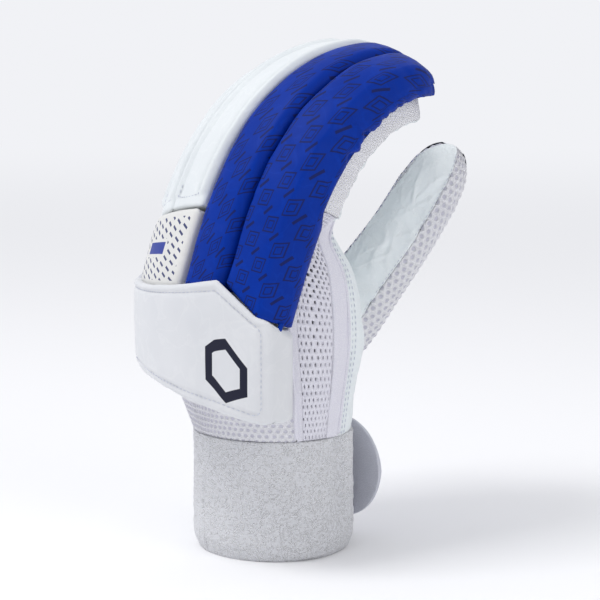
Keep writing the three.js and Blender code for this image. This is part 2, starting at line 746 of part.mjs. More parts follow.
function build() {
  const glove = new THREE.Group();
  const hand = handSolid(GAP);
  const thumb = thumbSolid(0);
  const thumbClear = thumbSolid(GAP);
  const insideHand = STALL.start - OVERREACH.hand;
  const stalls = STALLS.map((stall) => stallSolid(stall, GAP, insideHand));

  glove.add(piece('wristband', wristbandGeometry(), 'knit'));
  glove.add(piece('wrist_strap', strapGeometry(), 'strap'));

  PANELS.forEach((panel) => {
    const solid = toSolid(handPanel(panel)).subtract(thumbClear);
    glove.add(piece(panel.name, toGeometry(solid), panel.finish));
  });

  STALLS.forEach((stall) => {
    const hollow = stallSolid(stall, -LEATHER_WALL, insideHand);
    const cup = stallSolid(stall, 0).subtract(hollow);
    const leather = cup.intersect(stallPalmSide(stall, 0));
    const mesh = cup.subtract(stallPalmSide(stall, GAP));
    glove.add(piece(`${stall.name}_finger_leather`, toGeometry(leather), 'leather'));
    glove.add(piece(`${stall.name}_finger_mesh`, toGeometry(mesh), 'mesh'));
  });

  const thumbCup = thumb.subtract(thumbSolid(-LEATHER_WALL)).subtract(hand);
  const seamGap = THREE.MathUtils.radToDeg(GAP / THUMB.tipHalf);
  const thumbLeather = thumbCup.intersect(thumbWedge(THUMB.leatherFrom, THUMB.leatherTo));
  const thumbMesh = thumbCup.subtract(thumbWedge(THUMB.leatherFrom - seamGap, THUMB.leatherTo + seamGap));
  glove.add(piece('thumb_leather', toGeometry(thumbLeather), 'leather'));
  glove.add(piece('thumb_mesh', toGeometry(thumbMesh), 'mesh'));

  const join = GAP / thumbCurve.getLength();
  const shellCutters = [thumbClear, hand];
  glove.add(piece('thumb_tip_shell',
    thumbShellGeometry(THUMB_SHELL.split + join, THUMB_SHELL.tipEnd, shellCutters), 'navy'));
  glove.add(piece('thumb_base_shell',
    thumbShellGeometry(THUMB_SHELL.baseStart, THUMB_SHELL.split, shellCutters), 'blue'));

  ROLLS.forEach((roll) => {
    glove.add(piece(roll.name, rollGeometry(roll, [hand, ...stalls]), roll.finish));
  });
  glove.add(piece('badge_pad', badgeGeometry(hand), 'badge'));
  glove.add(piece('cuff_pad', cuffGeometry(hand), 'white'));
  return glove;
}

const glove = build();

// The origin goes under the middle of the whole glove.
const box = new THREE.Box3().setFromObject(glove);
glove.position.set(-(box.min.x + box.max.x) / 2, -(box.min.y + box.max.y) / 2, -box.min.z);

export default glove;
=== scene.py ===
"""Looks of a cricket batting glove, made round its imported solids.

Sizes are millimetres, measured from the foot of the wristband's axis: +Z up the hand, -Y out of its
back, +X to the little finger. A mesh gets its place in the frame when it is made.
"""
import logging
import math
from dataclasses import dataclass, field
from enum import Enum
from functools import lru_cache
from typing import Sequence

import bmesh
import bpy
import numpy as np
from mathutils import Matrix, Vector
from mathutils.bvhtree import BVHTree


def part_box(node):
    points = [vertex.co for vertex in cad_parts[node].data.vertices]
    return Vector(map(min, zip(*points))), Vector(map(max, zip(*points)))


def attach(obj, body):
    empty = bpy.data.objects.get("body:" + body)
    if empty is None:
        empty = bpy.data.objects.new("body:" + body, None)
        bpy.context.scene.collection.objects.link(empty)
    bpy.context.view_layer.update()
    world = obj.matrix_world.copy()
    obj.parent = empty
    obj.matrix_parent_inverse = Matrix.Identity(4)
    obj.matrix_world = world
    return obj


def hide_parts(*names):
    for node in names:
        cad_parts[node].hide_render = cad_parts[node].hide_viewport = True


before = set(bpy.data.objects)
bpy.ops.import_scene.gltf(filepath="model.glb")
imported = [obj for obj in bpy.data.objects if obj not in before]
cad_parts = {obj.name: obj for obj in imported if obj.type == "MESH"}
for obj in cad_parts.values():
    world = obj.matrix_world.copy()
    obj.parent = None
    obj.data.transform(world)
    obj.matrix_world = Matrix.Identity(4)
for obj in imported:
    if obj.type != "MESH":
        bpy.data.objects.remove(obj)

Array = np.ndarray
Socket = bpy.types.NodeSocket
MM = 0.001
GAP = 0.3
SURFACE = "surface"
BODY = "root"
LOG = logging.getLogger("glove")
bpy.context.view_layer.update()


def band_foot() -> Array:
    """Foot of the wristband's axis in the frame, in millimetres."""
    low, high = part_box("wristband")
    return np.array([(low.x + high.x) / 2, (low.y + high.y) / 2, low.z]) / MM


ORIGIN = band_foot()


# Curves, noise and patterns

def power(value: Array, exponent: float) -> Array:
    """Power of the size of a number that keeps its sign."""
    return np.sign(value) * np.abs(value) ** exponent


def blend(low: Array, high: Array, share: Array) -> Array:
    """Straight mix of two values."""
    return low + (high - low) * share


def ease(value: Array, start: float, stop: float) -> Array:
    """Smooth step from 0 at start to 1 at stop."""
    share = np.clip((value - start) / (stop - start), 0, 1)
    return share * share * (3 - 2 * share)


def hump(value: Array, centre: float, spread: float) -> Array:
    """Bell of height 1 round a centre."""
    return np.exp(-(((value - centre) / spread) ** 2))


def full_turn(count: int) -> Array:
    """Degrees round a full turn, without the last."""
    return np.linspace(0, 360, count, endpoint=False)


def quarter(count: int) -> Array:
    """Angles of a quarter turn, in radians."""
    return np.linspace(0, math.pi / 2, count)


def run_length(points: Array) -> float:
    """Length of a line of points."""
    return float(np.sum(np.linalg.norm(np.diff(points, axis=0), axis=1)))


def unit(vectors: Array) -> Array:
    """Vectors of length 1 in the same directions."""
    return vectors / np.linalg.norm(vectors, axis=-1, keepdims=True)


def smooth_through(keys: Array, shares: Array) -> Array:
    """Points of the centripetal curve through key points.

    Args:
        keys: key points, one row for each.
        shares: places along the curve, from 0 to 1.

    Returns:
        One point, or one row of points, for each share.
    """
    count = len(keys) - 1
    place = np.clip(shares, 0, 1) * count
    row = np.minimum(place.astype(int), count - 1)
    part = (place - row).reshape(-1, *[1] * (keys.ndim - 1))
    padded = np.concatenate([[2 * keys[0] - keys[1]], keys, [2 * keys[-1] - keys[-2]]])
    a, b, c, d = (padded[row + k] for k in range(4))

    def step(p: Array, q: Array) -> Array:
        """Knot distance between two key points."""
        return np.maximum(np.sum((q - p) ** 2, -1, keepdims=True), 1e-12) ** 0.25

    ab, bc, cd = step(a, b), step(b, c), step(c, d)
    leave = ((b - a) / ab - (c - a) / (ab + bc) + (c - b) / bc) * bc
    reach = ((c - b) / bc - (d - b) / (bc + cd) + (d - c) / cd) * bc
    cubic = 2 * b - 2 * c + leave + reach
    square = -3 * b + 3 * c - 2 * leave - reach
    return b + leave * part + square * part**2 + cubic * part**3


def noise(u: Array, v: Array, cell: float, seed: int) -> Array:
    """Smooth noise from -1 to 1 over flat coordinates.

    Args:
        u: first coordinate.
        v: second coordinate.
        cell: size of a lump.
        seed: seed of the random numbers.

    Returns:
        Noise of the same form as the coordinates.
    """
    size = 128
    table = np.random.default_rng(seed).uniform(-1, 1, (size, size))
    x, y = u / cell, v / cell
    i, j = np.floor(x).astype(int), np.floor(y).astype(int)
    fx, fy = ease(x - i, 0, 1), ease(y - j, 0, 1)
    near = blend(table[i % size, j % size], table[(i + 1) % size, j % size], fx)
    far = blend(table[i % size, (j + 1) % size], table[(i + 1) % size, (j + 1) % size], fx)
    return blend(near, far, fy)


def clouds(u: Array, v: Array, cell: float, seed: int, octaves: int = 3) -> Array:
    """Noise in several sizes of lump, the smaller ones weaker."""
    return sum(noise(u, v, cell / 2**k, seed + k) / 2**k for k in range(octaves))


@dataclass(frozen=True)
class CreaseSet:
    """Long creases of one slant, in degrees, with their width and length and their share of the depth."""

    slant: float
    width: float
    length: float
    share: float


CREASE_SETS = (CreaseSet(22, 4.5, 26, 1.0), CreaseSet(-28, 5.5, 22, 0.8), CreaseSet(4, 3.2, 30, 0.5),
               CreaseSet(62, 6.0, 18, 0.4))


def wrinkles(u: Array, v: Array, depth: float, seed: int) -> Array:
    """Depth of long soft creases that cross at several slants.

    Args:
        u: coordinate across.
        v: coordinate along.
        depth: depth of the deepest creases.
        seed: seed of the random numbers.

    Returns:
        Depths from 0 up.
    """
    total = 0.0
    for number, crease in enumerate(CREASE_SETS):
        turn = math.radians(crease.slant)
        across = u * math.cos(turn) + v * math.sin(turn)
        along = v * math.cos(turn) - u * math.sin(turn)
        bent = across / crease.width + 0.4 * noise(u, v, 9, seed + 31)
        line = noise(bent, along / crease.length, 1.0, seed + number)
        patch = np.clip(0.5 + noise(u, v, 17, seed + 50 + number), 0, 1)
        total = total + crease.share * patch * np.clip(1 - np.abs(line) * 3.2, 0, 1) ** 1.5
    return depth * total


def dimples(u: Array, v: Array, pitch: float, radius: float, sharp: float) -> Array:
    """Depth share of round dimples in a honeycomb.

    Args:
        u: coordinate across.
        v: coordinate along.
        pitch: distance between neighbours.
        radius: radius of a dimple.
        sharp: exponent of its section.

    Returns:
        Shares from 0 between the dimples to 1 in their middles.
    """
    rise = pitch * math.sqrt(3)

    def lattice(x: Array, y: Array) -> Array:
        """Distance to the nearest point of a plain lattice."""
        return np.hypot(x - np.round(x / pitch) * pitch, y - np.round(y / rise) * rise)

    distance = np.minimum(lattice(u, v), lattice(u - pitch / 2, v - rise / 2))
    return np.clip(1 - distance / radius, 0, 1) ** sharp


# Forms of the glove, as in its solids

@dataclass(frozen=True)
class BandForm:
    """Knitted tube round the wrist."""

    height: float = 54.0
    half_width: float = 37.0
    half_depth: float = 35.0
    wall: float = 2.6
    hem_height: float = 10.0
    hem_tuck: float = 3.0

    def around(self, angle: Array, out: Array) -> Array:
        """Points seen from above, at degrees round the band and a distance out of its surface."""
        turn = np.radians(angle)
        return np.stack([(self.half_width + out) * np.sin(turn), -(self.half_depth + out) * np.cos(turn)], -1)


BAND = BandForm()


@dataclass(frozen=True)
class ArchForm:
    """Curled back of the glove: arches about an axis that bends towards the palm."""

    length: float = 112.0
    back_radius: float = 75.0
    side_radius: float = 78.0
    tip_back_radius: float = 36.0
    tip_side_radius: float = 51.0
    axis_forward: float = 16.0
    axis_rise: float = 44.0
    lean_foot: float = 18.0
    lean_tip: float = 69.0
    bend_power: float = 2.9
    back_power: float = 4.0
    side_power: float = 6.0
    fan: float = 0.6

    def lean(self, along: Array) -> Array:
        """Lean of the axis at a length along it, in radians."""
        share = np.clip(along / self.length, 0, 1)
        return np.radians(blend(self.lean_foot, self.lean_tip, share**self.bend_power))

    def point(self, along: Array, angle: Array, depth: Array) -> Array:
        """Point under the outer surface of the back.

        Args:
            along: length along the arch.
            angle: degrees round it from the middle of the back.
            depth: depth into the glove.

        Returns:
            Points, with x, y and z last.
        """
        along, angle, depth = np.broadcast_arrays(*(np.asarray(a, float) for a in (along, angle, depth)))
        share = np.clip(along / self.length, 0, 1)
        back = blend(self.back_radius, self.tip_back_radius, share**self.back_power)
        side = blend(self.side_radius, self.tip_side_radius, share**self.side_power)
        turn = np.radians(angle)
        across = side * np.sin(turn) - depth * np.sin(turn * self.fan)
        out = back * np.cos(turn) - depth * np.cos(turn * self.fan)
        table, forward, rise = axis_table(self)
        lean = self.lean(along)
        y = np.interp(along, table, forward) - out * np.cos(lean)
        z = np.interp(along, table, rise) + out * np.sin(lean)
        return np.stack([across, y, z], -1)


@lru_cache(maxsize=2)
def axis_table(arch: ArchForm) -> tuple[Array, Array, Array]:
    """Lengths along an arch's axis, with its y and z there.

    Args:
        arch: the arch.

    Returns:
        The lengths, the y and the z.
    """
    margin = 24.0
    along = np.linspace(-margin, arch.length + margin, 641)
    lean = arch.lean((along[1:] + along[:-1]) / 2)
    steps = [part(lean) * np.diff(along) for part in (np.sin, np.cos)]
    forward, rise = (np.concatenate([[0], np.cumsum(step)]) for step in steps)
    forward += arch.axis_forward - np.interp(0, along, forward)
    rise += BAND.height + arch.axis_rise - np.interp(0, along, rise)
    return along, forward, rise


ARCH = ArchForm()
PAD_THICKNESS = 14.0


@dataclass(frozen=True)
class StallForm:
    """One finger stall between two angles of the arch."""

    name: str
    start_angle: float
    stop_angle: float
    length: float
    start: float = 47.0
    base_depth: float = 29.0
    tip_depth: float = 23.0
    tip_margin: float = 1.5
    dome_share: float = 0.8
    seam_depth: float = 0.66
    square: float = 2.8

    def half(self, along: Array) -> Array:
        """Half depth of the stall at a length along the arch."""
        share = np.clip((along - self.start) / (ARCH.length - self.start), 0, 1)
        return blend(self.base_depth, self.tip_depth, share) / 2

    def middle(self, along: Array) -> Array:
        """Depth of the stall's middle under the outer surface of the back."""
        return PAD_THICKNESS + GAP + self.half(along)

    def centre(self, along: float) -> Array:
        """Middle of the stall at a length along the arch."""
        return ARCH.point(along, (self.start_angle + self.stop_angle) / 2, self.middle(along))

    def ring(self, along: float, angles: Array, rounding: float) -> Array:
        """One ring of the stall.

        Args:
            along: length along the arch.
            angles: degrees round the stall from its back.
            rounding: 1, or less where the tip closes.

        Returns:
            A point for each angle.
        """
        middle, centre = self.middle(along), self.centre(along)
        left, right = (ARCH.point(along, angle, middle) for angle in (self.start_angle, self.stop_angle))
        outward = ARCH.point(along, (self.start_angle + self.stop_angle) / 2, middle - 1) - centre
        half_width = np.linalg.norm(right - left) / 2 - GAP / 2
        turn = np.radians(angles)[:, None]
        across = power(np.sin(turn), 2 / self.square) * half_width * rounding
        out = power(np.cos(turn), 2 / self.square) * self.half(along) * rounding
        return centre + unit(right - left) * across + outward * out

    def surface(self, angles: Array, step: float) -> Array:
        """Rings from the hand to the closed tip.

        Args:
            angles: degrees round the stall.
            step: distance between rings.

        Returns:
            A row of points for each ring.
        """
        end = ARCH.length * self.length - self.tip_margin
        tip = self.half(end) * self.dome_share
        straight = np.linspace(self.start + GAP / 2, end - tip, int((end - tip - self.start) / step) + 2)
        rings = [self.ring(along, angles, 1.0) for along in straight]
        for turn in quarter(int(tip * 1.5 / step) + 3)[1:]:
            rings.append(self.ring(end - tip + tip * math.sin(turn), angles, math.cos(turn)))
        return np.array(rings)

    def outline(self) -> Array:
        """Rings of the stall's body."""
        return self.surface(full_turn(48), 3.0)[:-1]

    def seam_angle(self) -> float:
        """Degrees round the stall to the seam between its mesh and its leather."""
        half = self.half(self.start)
        out = (GAP + half - 2 * half * self.seam_depth) / half
        return math.degrees(math.acos(float(power(np.array(out), self.square / 2))))


STALLS = (
    StallForm("index", -65, -32, 0.98),
    StallForm("middle", -31, -12.5, 1),
    StallForm("ring", -11.5, 8, 1),
    StallForm("little", 9, 44, 0.98, seam_depth=0.84),
)


@dataclass(frozen=True)
class HandRow:
    """One section of the hand, as shares of the hand's sizes."""

    rise: float
    spread: float
    back: float
    palm: float
    back_taper: float
    palm_taper: float
    lean: float
    square: float


@dataclass(frozen=True)
class HandForm:
    """Hand between the wristband and the finger stalls."""

    rise: float = 106.0
    half_width: float = 50.0
    back_depth: float = 41.5
    palm_depth: float = 44.0
    lean: float = 18.0
    shift: float = -9.0
    set_back: float = -10.6
    rows: tuple[HandRow, ...] = (
        HandRow(0, 0, 0, 0, 0, 0, 0, 2),
        HandRow(0.19, 0.5, 0.65, 0.25, 0, 0, 0.1, 2.15),
        HandRow(0.4, 0.85, 1, 0.9, 0, 0, 0.3, 2.3),
        HandRow(0.6, 1, 1, 1, 0.31, 0, 0.65, 2.5),
        HandRow(0.75, 1, 1, 1, 0.56, 0.04, 0.9, 2.6),
        HandRow(0.88, 1, 1, 1, 0.78, 0.34, 1.1, 2.6),
    )

    def ring(self, row: HandRow, angles: Array, grow: float) -> Array:
        """Ring of the hand at one row of its table.

        Args:
            row: the section.
            angles: degrees round the hand from its back.
            grow: how far the ring is grown outwards.

        Returns:
            A point for each angle.
        """
        knuckle = STALLS[0].base_depth / 2
        width = blend(BAND.half_width, self.half_width, row.spread) + grow
        back = blend(blend(BAND.half_depth, self.back_depth, row.back), knuckle, row.back_taper) + grow
        palm = blend(blend(BAND.half_depth, self.palm_depth, row.palm), knuckle, row.palm_taper) + grow
        lean = math.radians(self.lean * row.lean)
        turn = np.radians(angles)
        cosine = power(np.cos(turn), 2 / row.square)
        out = np.where(cosine > 0, back, palm) * cosine
        x = self.shift * row.rise + width * power(np.sin(turn), 2 / row.square)
        y = self.set_back * row.rise - out * math.cos(lean)
        z = BAND.height + GAP + self.rise * row.rise + out * math.sin(lean)
        return np.stack([x, y, z], -1)

    def knuckles(self, angles: Array, grow: float) -> Array:
        """Ring of the hand where the finger stalls start.

        Args:
            angles: degrees round the hand from its back.
            grow: how far the ring is grown outwards.

        Returns:
            A point for each angle.
        """
        first = STALLS[0]
        start, stop = first.start_angle, STALLS[-1].stop_angle
        middle, half = first.middle(first.start), first.half(first.start)
        degree = math.pi * (ARCH.side_radius - middle) / 180
        turn = np.radians(angles)
        across = power(np.sin(turn), 2 / first.square)
        out = power(np.cos(turn), 2 / first.square)
        place = (start + stop) / 2 + across * ((stop - start) / 2 + grow / degree)
        return ARCH.point(first.start - GAP / 2, place, middle - out * (half + grow))

    def surface(self, shares: Array, angles: Array, grow: float = 0.0) -> Array:
        """Points of the hand at shares of its height and degrees round it."""
        keys = [self.ring(row, angles, grow) for row in self.rows] + [self.knuckles(angles, grow)]
        return smooth_through(np.array(keys), shares)

    def middle_ring(self, angles: Array) -> Array:
        """Ring half way up the hand."""
        return self.surface(np.array([0.5]), angles)[0]

    def outline(self) -> Array:
        """Rings of the hand's body."""
        return self.surface(np.linspace(0, 1, 40), full_turn(96))


HAND = HandForm()


@dataclass(frozen=True)
class ThumbRow:
    """One place on the thumb's centre line, as shares of its reach, with the share of its half depth."""

    x: float
    y: float
    z: float
    half: float


@dataclass(frozen=True)
class ThumbForm:
    """Thumb stall along a curved line, with its shells on the outer side."""

    root: tuple[float, float, float] = (-28.0, 22.0, 73.0)
    reach: tuple[float, float, float] = (30.0, 76.0, 104.0)
    outward: tuple[float, float, float] = (-0.84, 0.54, 0.0)
    base_half: float = 19.0
    tip_half: float = 17.0
    flat: float = 0.95
    square: float = 2.3
    leather_from: float = 98.0
    sewn_to: float = 196.0
    rows: tuple[ThumbRow, ...] = (
        ThumbRow(0, 0, 0, 1.02),
        ThumbRow(0.12, 0.36, 0.2, 1),
        ThumbRow(0.3, 0.56, 0.4, 0.93),
        ThumbRow(0.54, 0.73, 0.6, 0.87),
        ThumbRow(0.76, 0.86, 0.79, 0.84),
        ThumbRow(1, 1, 1, 0.64),
    )

    def centres(self, shares: Array) -> Array:
        """Points of the thumb's centre line."""
        places = np.array([(row.x, row.y, row.z) for row in self.rows])
        return smooth_through(np.array(self.root) + places * np.array(self.reach), shares)

    def length(self) -> float:
        """Length of the centre line."""
        return run_length(self.centres(np.linspace(0, 1, 201)))

    def half(self, share: Array) -> Array:
        """Half depth of the thumb at a share of its length."""
        places = np.linspace(0, 1, len(self.rows))
        return self.base_half * np.interp(np.clip(share, 0, 1), places, [row.half for row in self.rows])

    def closing(self, share: Array, square: float) -> Array:
        """How far the dome has closed: 1 below it and 0 at the tip."""
        dome = self.tip_half / self.length()
        return (1 - np.clip((share - 1 + dome) / dome, 0, 1) ** square) ** (1 / square)

    def point(self, share: Array, angle: Array, depth: Array, width: Array, square: float) -> Array:
        """Points round the thumb.

        Args:
            share: share of its length.
            angle: degrees round it from the shells' side.
            depth: half size towards the shells.
            width: half size across.
            square: how square the section is.

        Returns:
            Points, with x, y and z last.
        """
        given = (np.asarray(value, float) for value in (share, angle, depth, width))
        share, angle, depth, width = np.broadcast_arrays(*given)
        inside = np.clip(share.ravel(), 0, 1)
        nudge = 1e-4
        ahead, behind = np.minimum(inside + nudge, 1), np.maximum(inside - nudge, 0)
        tangent = unit(self.centres(ahead) - self.centres(behind))
        centre = self.centres(inside) + tangent * ((share.ravel() - inside) * self.length())[:, None]
        outward = np.array(self.outward)
        out = unit(outward - tangent * (tangent @ outward)[:, None])
        turn = np.radians(angle)
        across = (power(np.sin(turn), 2 / square) * width).ravel()[:, None]
        outwards = (power(np.cos(turn), 2 / square) * depth).ravel()[:, None]
        return (centre + out * outwards + np.cross(tangent, out) * across).reshape(*share.shape, 3)

    def line(self, shares: Array, angle: float, proud: float) -> Array:
        """A line up the thumb at one angle, a little proud of its surface."""
        half = self.half(shares) * self.closing(shares, 2) + proud
        return self.point(shares, angle, half, half * self.flat, self.square)

    def surface(self, angles: Array, step: float) -> Array:
        """Rings from the root to the closed tip.

        Args:
            angles: degrees round the thumb.
            step: distance between rings.

        Returns:
            A row of points for each ring.
        """
        length = self.length()
        tip = self.tip_half / length
        turns = quarter(int(self.tip_half * 1.5 / step) + 3)[1:]
        straight = np.linspace(0, 1 - tip, int((1 - tip) * length / step))
        share = np.concatenate([straight, 1 - tip + tip * np.sin(turns)])[:, None]
        depth = self.half(share) * np.concatenate([np.ones(len(straight)), np.cos(turns)])[:, None]
        return self.point(share, np.asarray(angles)[None, :], depth, depth * self.flat, self.square)

    def outline(self) -> Array:
        """Rings of the thumb's body."""
        return self.surface(full_turn(64), 3.0)[:-1]


THUMB = ThumbForm()


# Meshes

@dataclass
class Grid:
    """A surface of rows and columns of points."""

    points: Array
    wrap_rows: bool = False
    wrap_columns: bool = False
    cap_ends: bool = False
    keep: Array | None = None
    chart: Array | None = None

    def normals(self) -> Array:
        """Unit normals of the points, to the side that the rows and columns turn to."""
        normal = np.cross(self._slopes(1, self.wrap_columns), self._slopes(0, self.wrap_rows))
        return normal / np.maximum(np.linalg.norm(normal, axis=-1, keepdims=True), 1e-9)

    def _slopes(self, axis: int, wrap: bool) -> Array:
        """Differences of the points along one axis."""
        if wrap:
            return np.roll(self.points, -1, axis) - np.roll(self.points, 1, axis)
        return np.gradient(self.points, axis=axis)

    def raised(self, height: Array, inside: Array) -> "Grid":
        """The grid with its points moved outwards along their normals.

        Args:
            height: how far each point moves.
            inside: a point on the inner side.

        Returns:
            The new grid.
        """
        normals = self.normals()
        sign = 1.0 if np.sum(normals * (self.points - inside)) > 0 else -1.0
        points = self.points + normals * (sign * height)[..., None]
        return Grid(points, self.wrap_rows, self.wrap_columns, self.cap_ends, self.keep)

    def flat(self) -> Array:
        """Flat coordinates in millimetres, one more row or column where the grid wraps."""
        if self.chart is not None:
            return self.chart
        points = self.points
        if self.wrap_rows:
            points = np.concatenate([points, points[:1]])
        if self.wrap_columns:
            points = np.concatenate([points, points[:, :1]], axis=1)
        across, along = (np.median(np.linalg.norm(np.diff(points, axis=axis), axis=-1), axis=1 - axis)
                         for axis in (1, 0))
        sides = [np.concatenate([[0], np.cumsum(steps)]) for steps in (across, along)]
        return np.stack(np.meshgrid(*sides), -1)


def link(name: str, mesh: bpy.types.Mesh) -> bpy.types.Object:
    """An object of a mesh, linked to the scene."""
    made = bpy.data.objects.new(name, mesh)
    bpy.context.scene.collection.objects.link(made)
    return made


def make_mesh(name: str, points: Array, quads: Array, triangles: Array, loop_flat: Array) -> bpy.types.Object:
    """A smooth-shaded object in the frame.

    Args:
        name: the piece's name.
        points: corners in millimetres.
        quads: four corners in each row.
        triangles: three corners in each row.
        loop_flat: flat coordinates in millimetres for each corner of each face.

    Returns:
        The object, linked to the scene, with its place in its mesh.
    """
    mesh = bpy.data.meshes.new(name)
    corners = np.concatenate([quads.ravel(), triangles.ravel()]).astype(np.int32)
    starts = np.concatenate([np.arange(len(quads)) * 4, len(quads) * 4 + np.arange(len(triangles)) * 3])
    mesh.vertices.add(len(points))
    mesh.vertices.foreach_set("co", ((points + ORIGIN) * MM).astype(np.float32).ravel())
    mesh.loops.add(len(corners))
    mesh.loops.foreach_set("vertex_index", corners)
    mesh.polygons.add(len(starts))
    mesh.polygons.foreach_set("loop_start", starts.astype(np.int32))
    mesh.polygons.foreach_set("use_smooth", np.ones(len(starts), bool))
    layer = mesh.uv_layers.new(name=SURFACE)
    layer.data.foreach_set("uv", (loop_flat * MM).astype(np.float32).ravel())
    mesh.update(calc_edges=True)
    mesh.validate()
    return link(name, mesh)


def grid_object(name: str, grid: Grid, inside: Array | None = None) -> bpy.types.Object:
    """An object from a grid, with its faces pointing out.

    Args:
        name: the piece's name.
        grid: the surface.
        inside: for an open surface, a point on its inner side.

    Returns:
        The object.
    """
    rows, columns = grid.points.shape[:2]
    points = grid.points.reshape(-1, 3)
    i = np.arange(rows if grid.wrap_rows else rows - 1)
    j = np.arange(columns if grid.wrap_columns else columns - 1)
    j, i = (part.ravel() for part in np.meshgrid(j, i))
    if grid.keep is not None:
        kept = grid.keep.ravel()
        i, j = i[kept], j[kept]
    corners = ((0, 0), (0, 1), (1, 1), (1, 0))
    quads = np.stack([((i + a) % rows) * columns + (j + b) % columns for a, b in corners], -1)
    flat = grid.flat()
    quad_flat = np.stack([flat[i + a, j + b] for a, b in corners], 1)
    triangles, triangle_flat = np.zeros((0, 3), int), np.zeros((0, 3, 2))
    if grid.cap_ends:
        ring = np.arange(columns)
        after = (ring + 1) % columns
        for row, order in ((0, (after, ring)), (rows - 1, (ring, after))):
            points = np.concatenate([points, [grid.points[row].mean(axis=0)]])
            centre = np.full(columns, len(points) - 1)
            fan = np.stack([centre, *(row * columns + part for part in order)], -1)
            middle = np.tile(flat[row].mean(axis=0), (columns, 1))
            ends = np.stack([middle, *(flat[row, part] for part in order)], 1)
            triangles, triangle_flat = np.concatenate([triangles, fan]), np.concatenate([triangle_flat, ends])
    a, b, c, d = (points[quads[:, k]] for k in range(4))
    centre = (a + b + c + d) / 4
    facing = np.cross(c - a, d - b) * (centre - (centre.mean(axis=0) if inside is None else inside))
    if np.sum(facing) < 0:
        quads, quad_flat = quads[:, ::-1], quad_flat[:, ::-1]
        triangles, triangle_flat = triangles[:, ::-1], triangle_flat[:, ::-1]
    loop_flat = np.concatenate([quad_flat.reshape(-1, 2), triangle_flat.reshape(-1, 2)])
    return make_mesh(name, points, quads, triangles, loop_flat)


def wall(piece: bpy.types.Object, thickness: float) -> bpy.types.Object:
    """Gives an open sheet its thickness, inwards."""
    solid = piece.modifiers.new("wall", "SOLIDIFY")
    solid.thickness = thickness * MM
    solid.offset = -1
    solid.use_rim = True
    return piece


def clean(piece: bpy.types.Object, distance: float = 0.002) -> bpy.types.Object:
    """Removes points that no face uses and joins points that lie on each other, such as a pole's.

    Args:
        piece: the object, whose mesh is changed.
        distance: largest distance between points that are joined.

    Returns:
        The object.
    """
    work = bmesh.new()
    work.from_mesh(piece.data)
    bmesh.ops.delete(work, geom=[v for v in work.verts if not v.link_faces], context="VERTS")
    bmesh.ops.remove_doubles(work, verts=work.verts, dist=distance * MM)
    work.to_mesh(piece.data)
    work.free()
    return piece


class Volume:
    """A closed body that tells how deep points lie inside it."""

    def __init__(self, rings: Array) -> None:
        """Builds the body from a stack of rings.

        Args:
            rings: points, a row for each ring, from the first end to the last.
        """
        rows, columns = rings.shape[:2]
        self.points = np.concatenate([rings.reshape(-1, 3), [rings[0].mean(axis=0), rings[-1].mean(axis=0)]])
        ring = np.arange(columns)
        after = (ring + 1) % columns
        wall_ring = np.stack([ring, after, after + columns, ring + columns], -1)
        walls = [wall_ring + row * columns for row in range(rows - 1)]
        low, high = np.full(columns, rows * columns), np.full(columns, rows * columns + 1)
        last = (rows - 1) * columns
        foot = np.stack([low, after, ring, ring], -1)
        head = np.stack([high, last + ring, last + after, last + after], -1)
        self.corners = np.concatenate([*walls, foot, head])
        polygons = [row[:3] if row[2] == row[3] else row for row in self.corners.tolist()]
        self.tree = BVHTree.FromPolygons([Vector(p) for p in self.points], polygons)
        a, b, c, d = (self.points[self.corners[:, k]] for k in range(4))
        facing = np.cross(c - a, d - b) + np.cross(b - a, c - a)
        if np.sum(facing * (a - rings[rows // 2].mean(axis=0))) < 0:
            facing = -facing
        self.normals = np.zeros_like(self.points)
        for k in range(4):
            np.add.at(self.normals, self.corners[:, k], facing)

    def depth(self, points: Array) -> Array:
        """How deep points lie inside. A point outside has a depth below 0.

        Args:
            points: points with x, y and z last.

        Returns:
            A depth for each point.
        """
        flat = points.reshape(-1, 3)
        hits = [self.tree.find_nearest(Vector(point)) for point in flat]
        spots = np.array([hit[0] for hit in hits])
        corners = self.corners[[hit[2] for hit in hits]]
        near = 1 / (np.sum((self.points[corners] - spots[:, None]) ** 2, axis=-1, keepdims=True) + 1e-4)
        normals = unit(np.sum(self.normals[corners] * near, axis=1))
        away = flat - spots
        depths = -np.copysign(np.linalg.norm(away, axis=-1), np.sum(away * normals, axis=-1))
        return depths.reshape(points.shape[:-1])

    def reach(self, starts: Array, stops: Array, clearance: float) -> Array:
        """How far straight lines get before they come close to the body.

        Args:
            starts: first points of the lines, outside the body.
            stops: last points of the lines.
            clearance: distance that is kept from the body.

        Returns:
            A share of each line, from 0 to 1.
        """
        lengths = np.maximum(np.linalg.norm(stops - starts, axis=-1), 1e-6)
        shares = np.ones(lengths.shape)
        for place in np.ndindex(lengths.shape):
            aim = Vector(stops[place] - starts[place]) / lengths[place]
            hit = self.tree.ray_cast(Vector(starts[place]), aim, lengths[place] + clearance)[3]
            if hit is not None:
                shares[place] = max(hit - clearance, 0.0) / lengths[place]
        return np.minimum(shares, 1)


@lru_cache(maxsize=8)
def body_of(form: StallForm | HandForm | ThumbForm) -> Volume:
    """A form of the glove as a body without its hollow, made once."""
    return Volume(form.outline())


# Shader nodes

def linear(colour: Sequence[float]) -> tuple[float, float, float, float]:
    """Linear colour with alpha from red, green and blue of 0 to 255."""
    parts = [value / 255 for value in colour]
    return (*[p / 12.92 if p <= 0.04045 else ((p + 0.055) / 1.055) ** 2.4 for p in parts], 1.0)


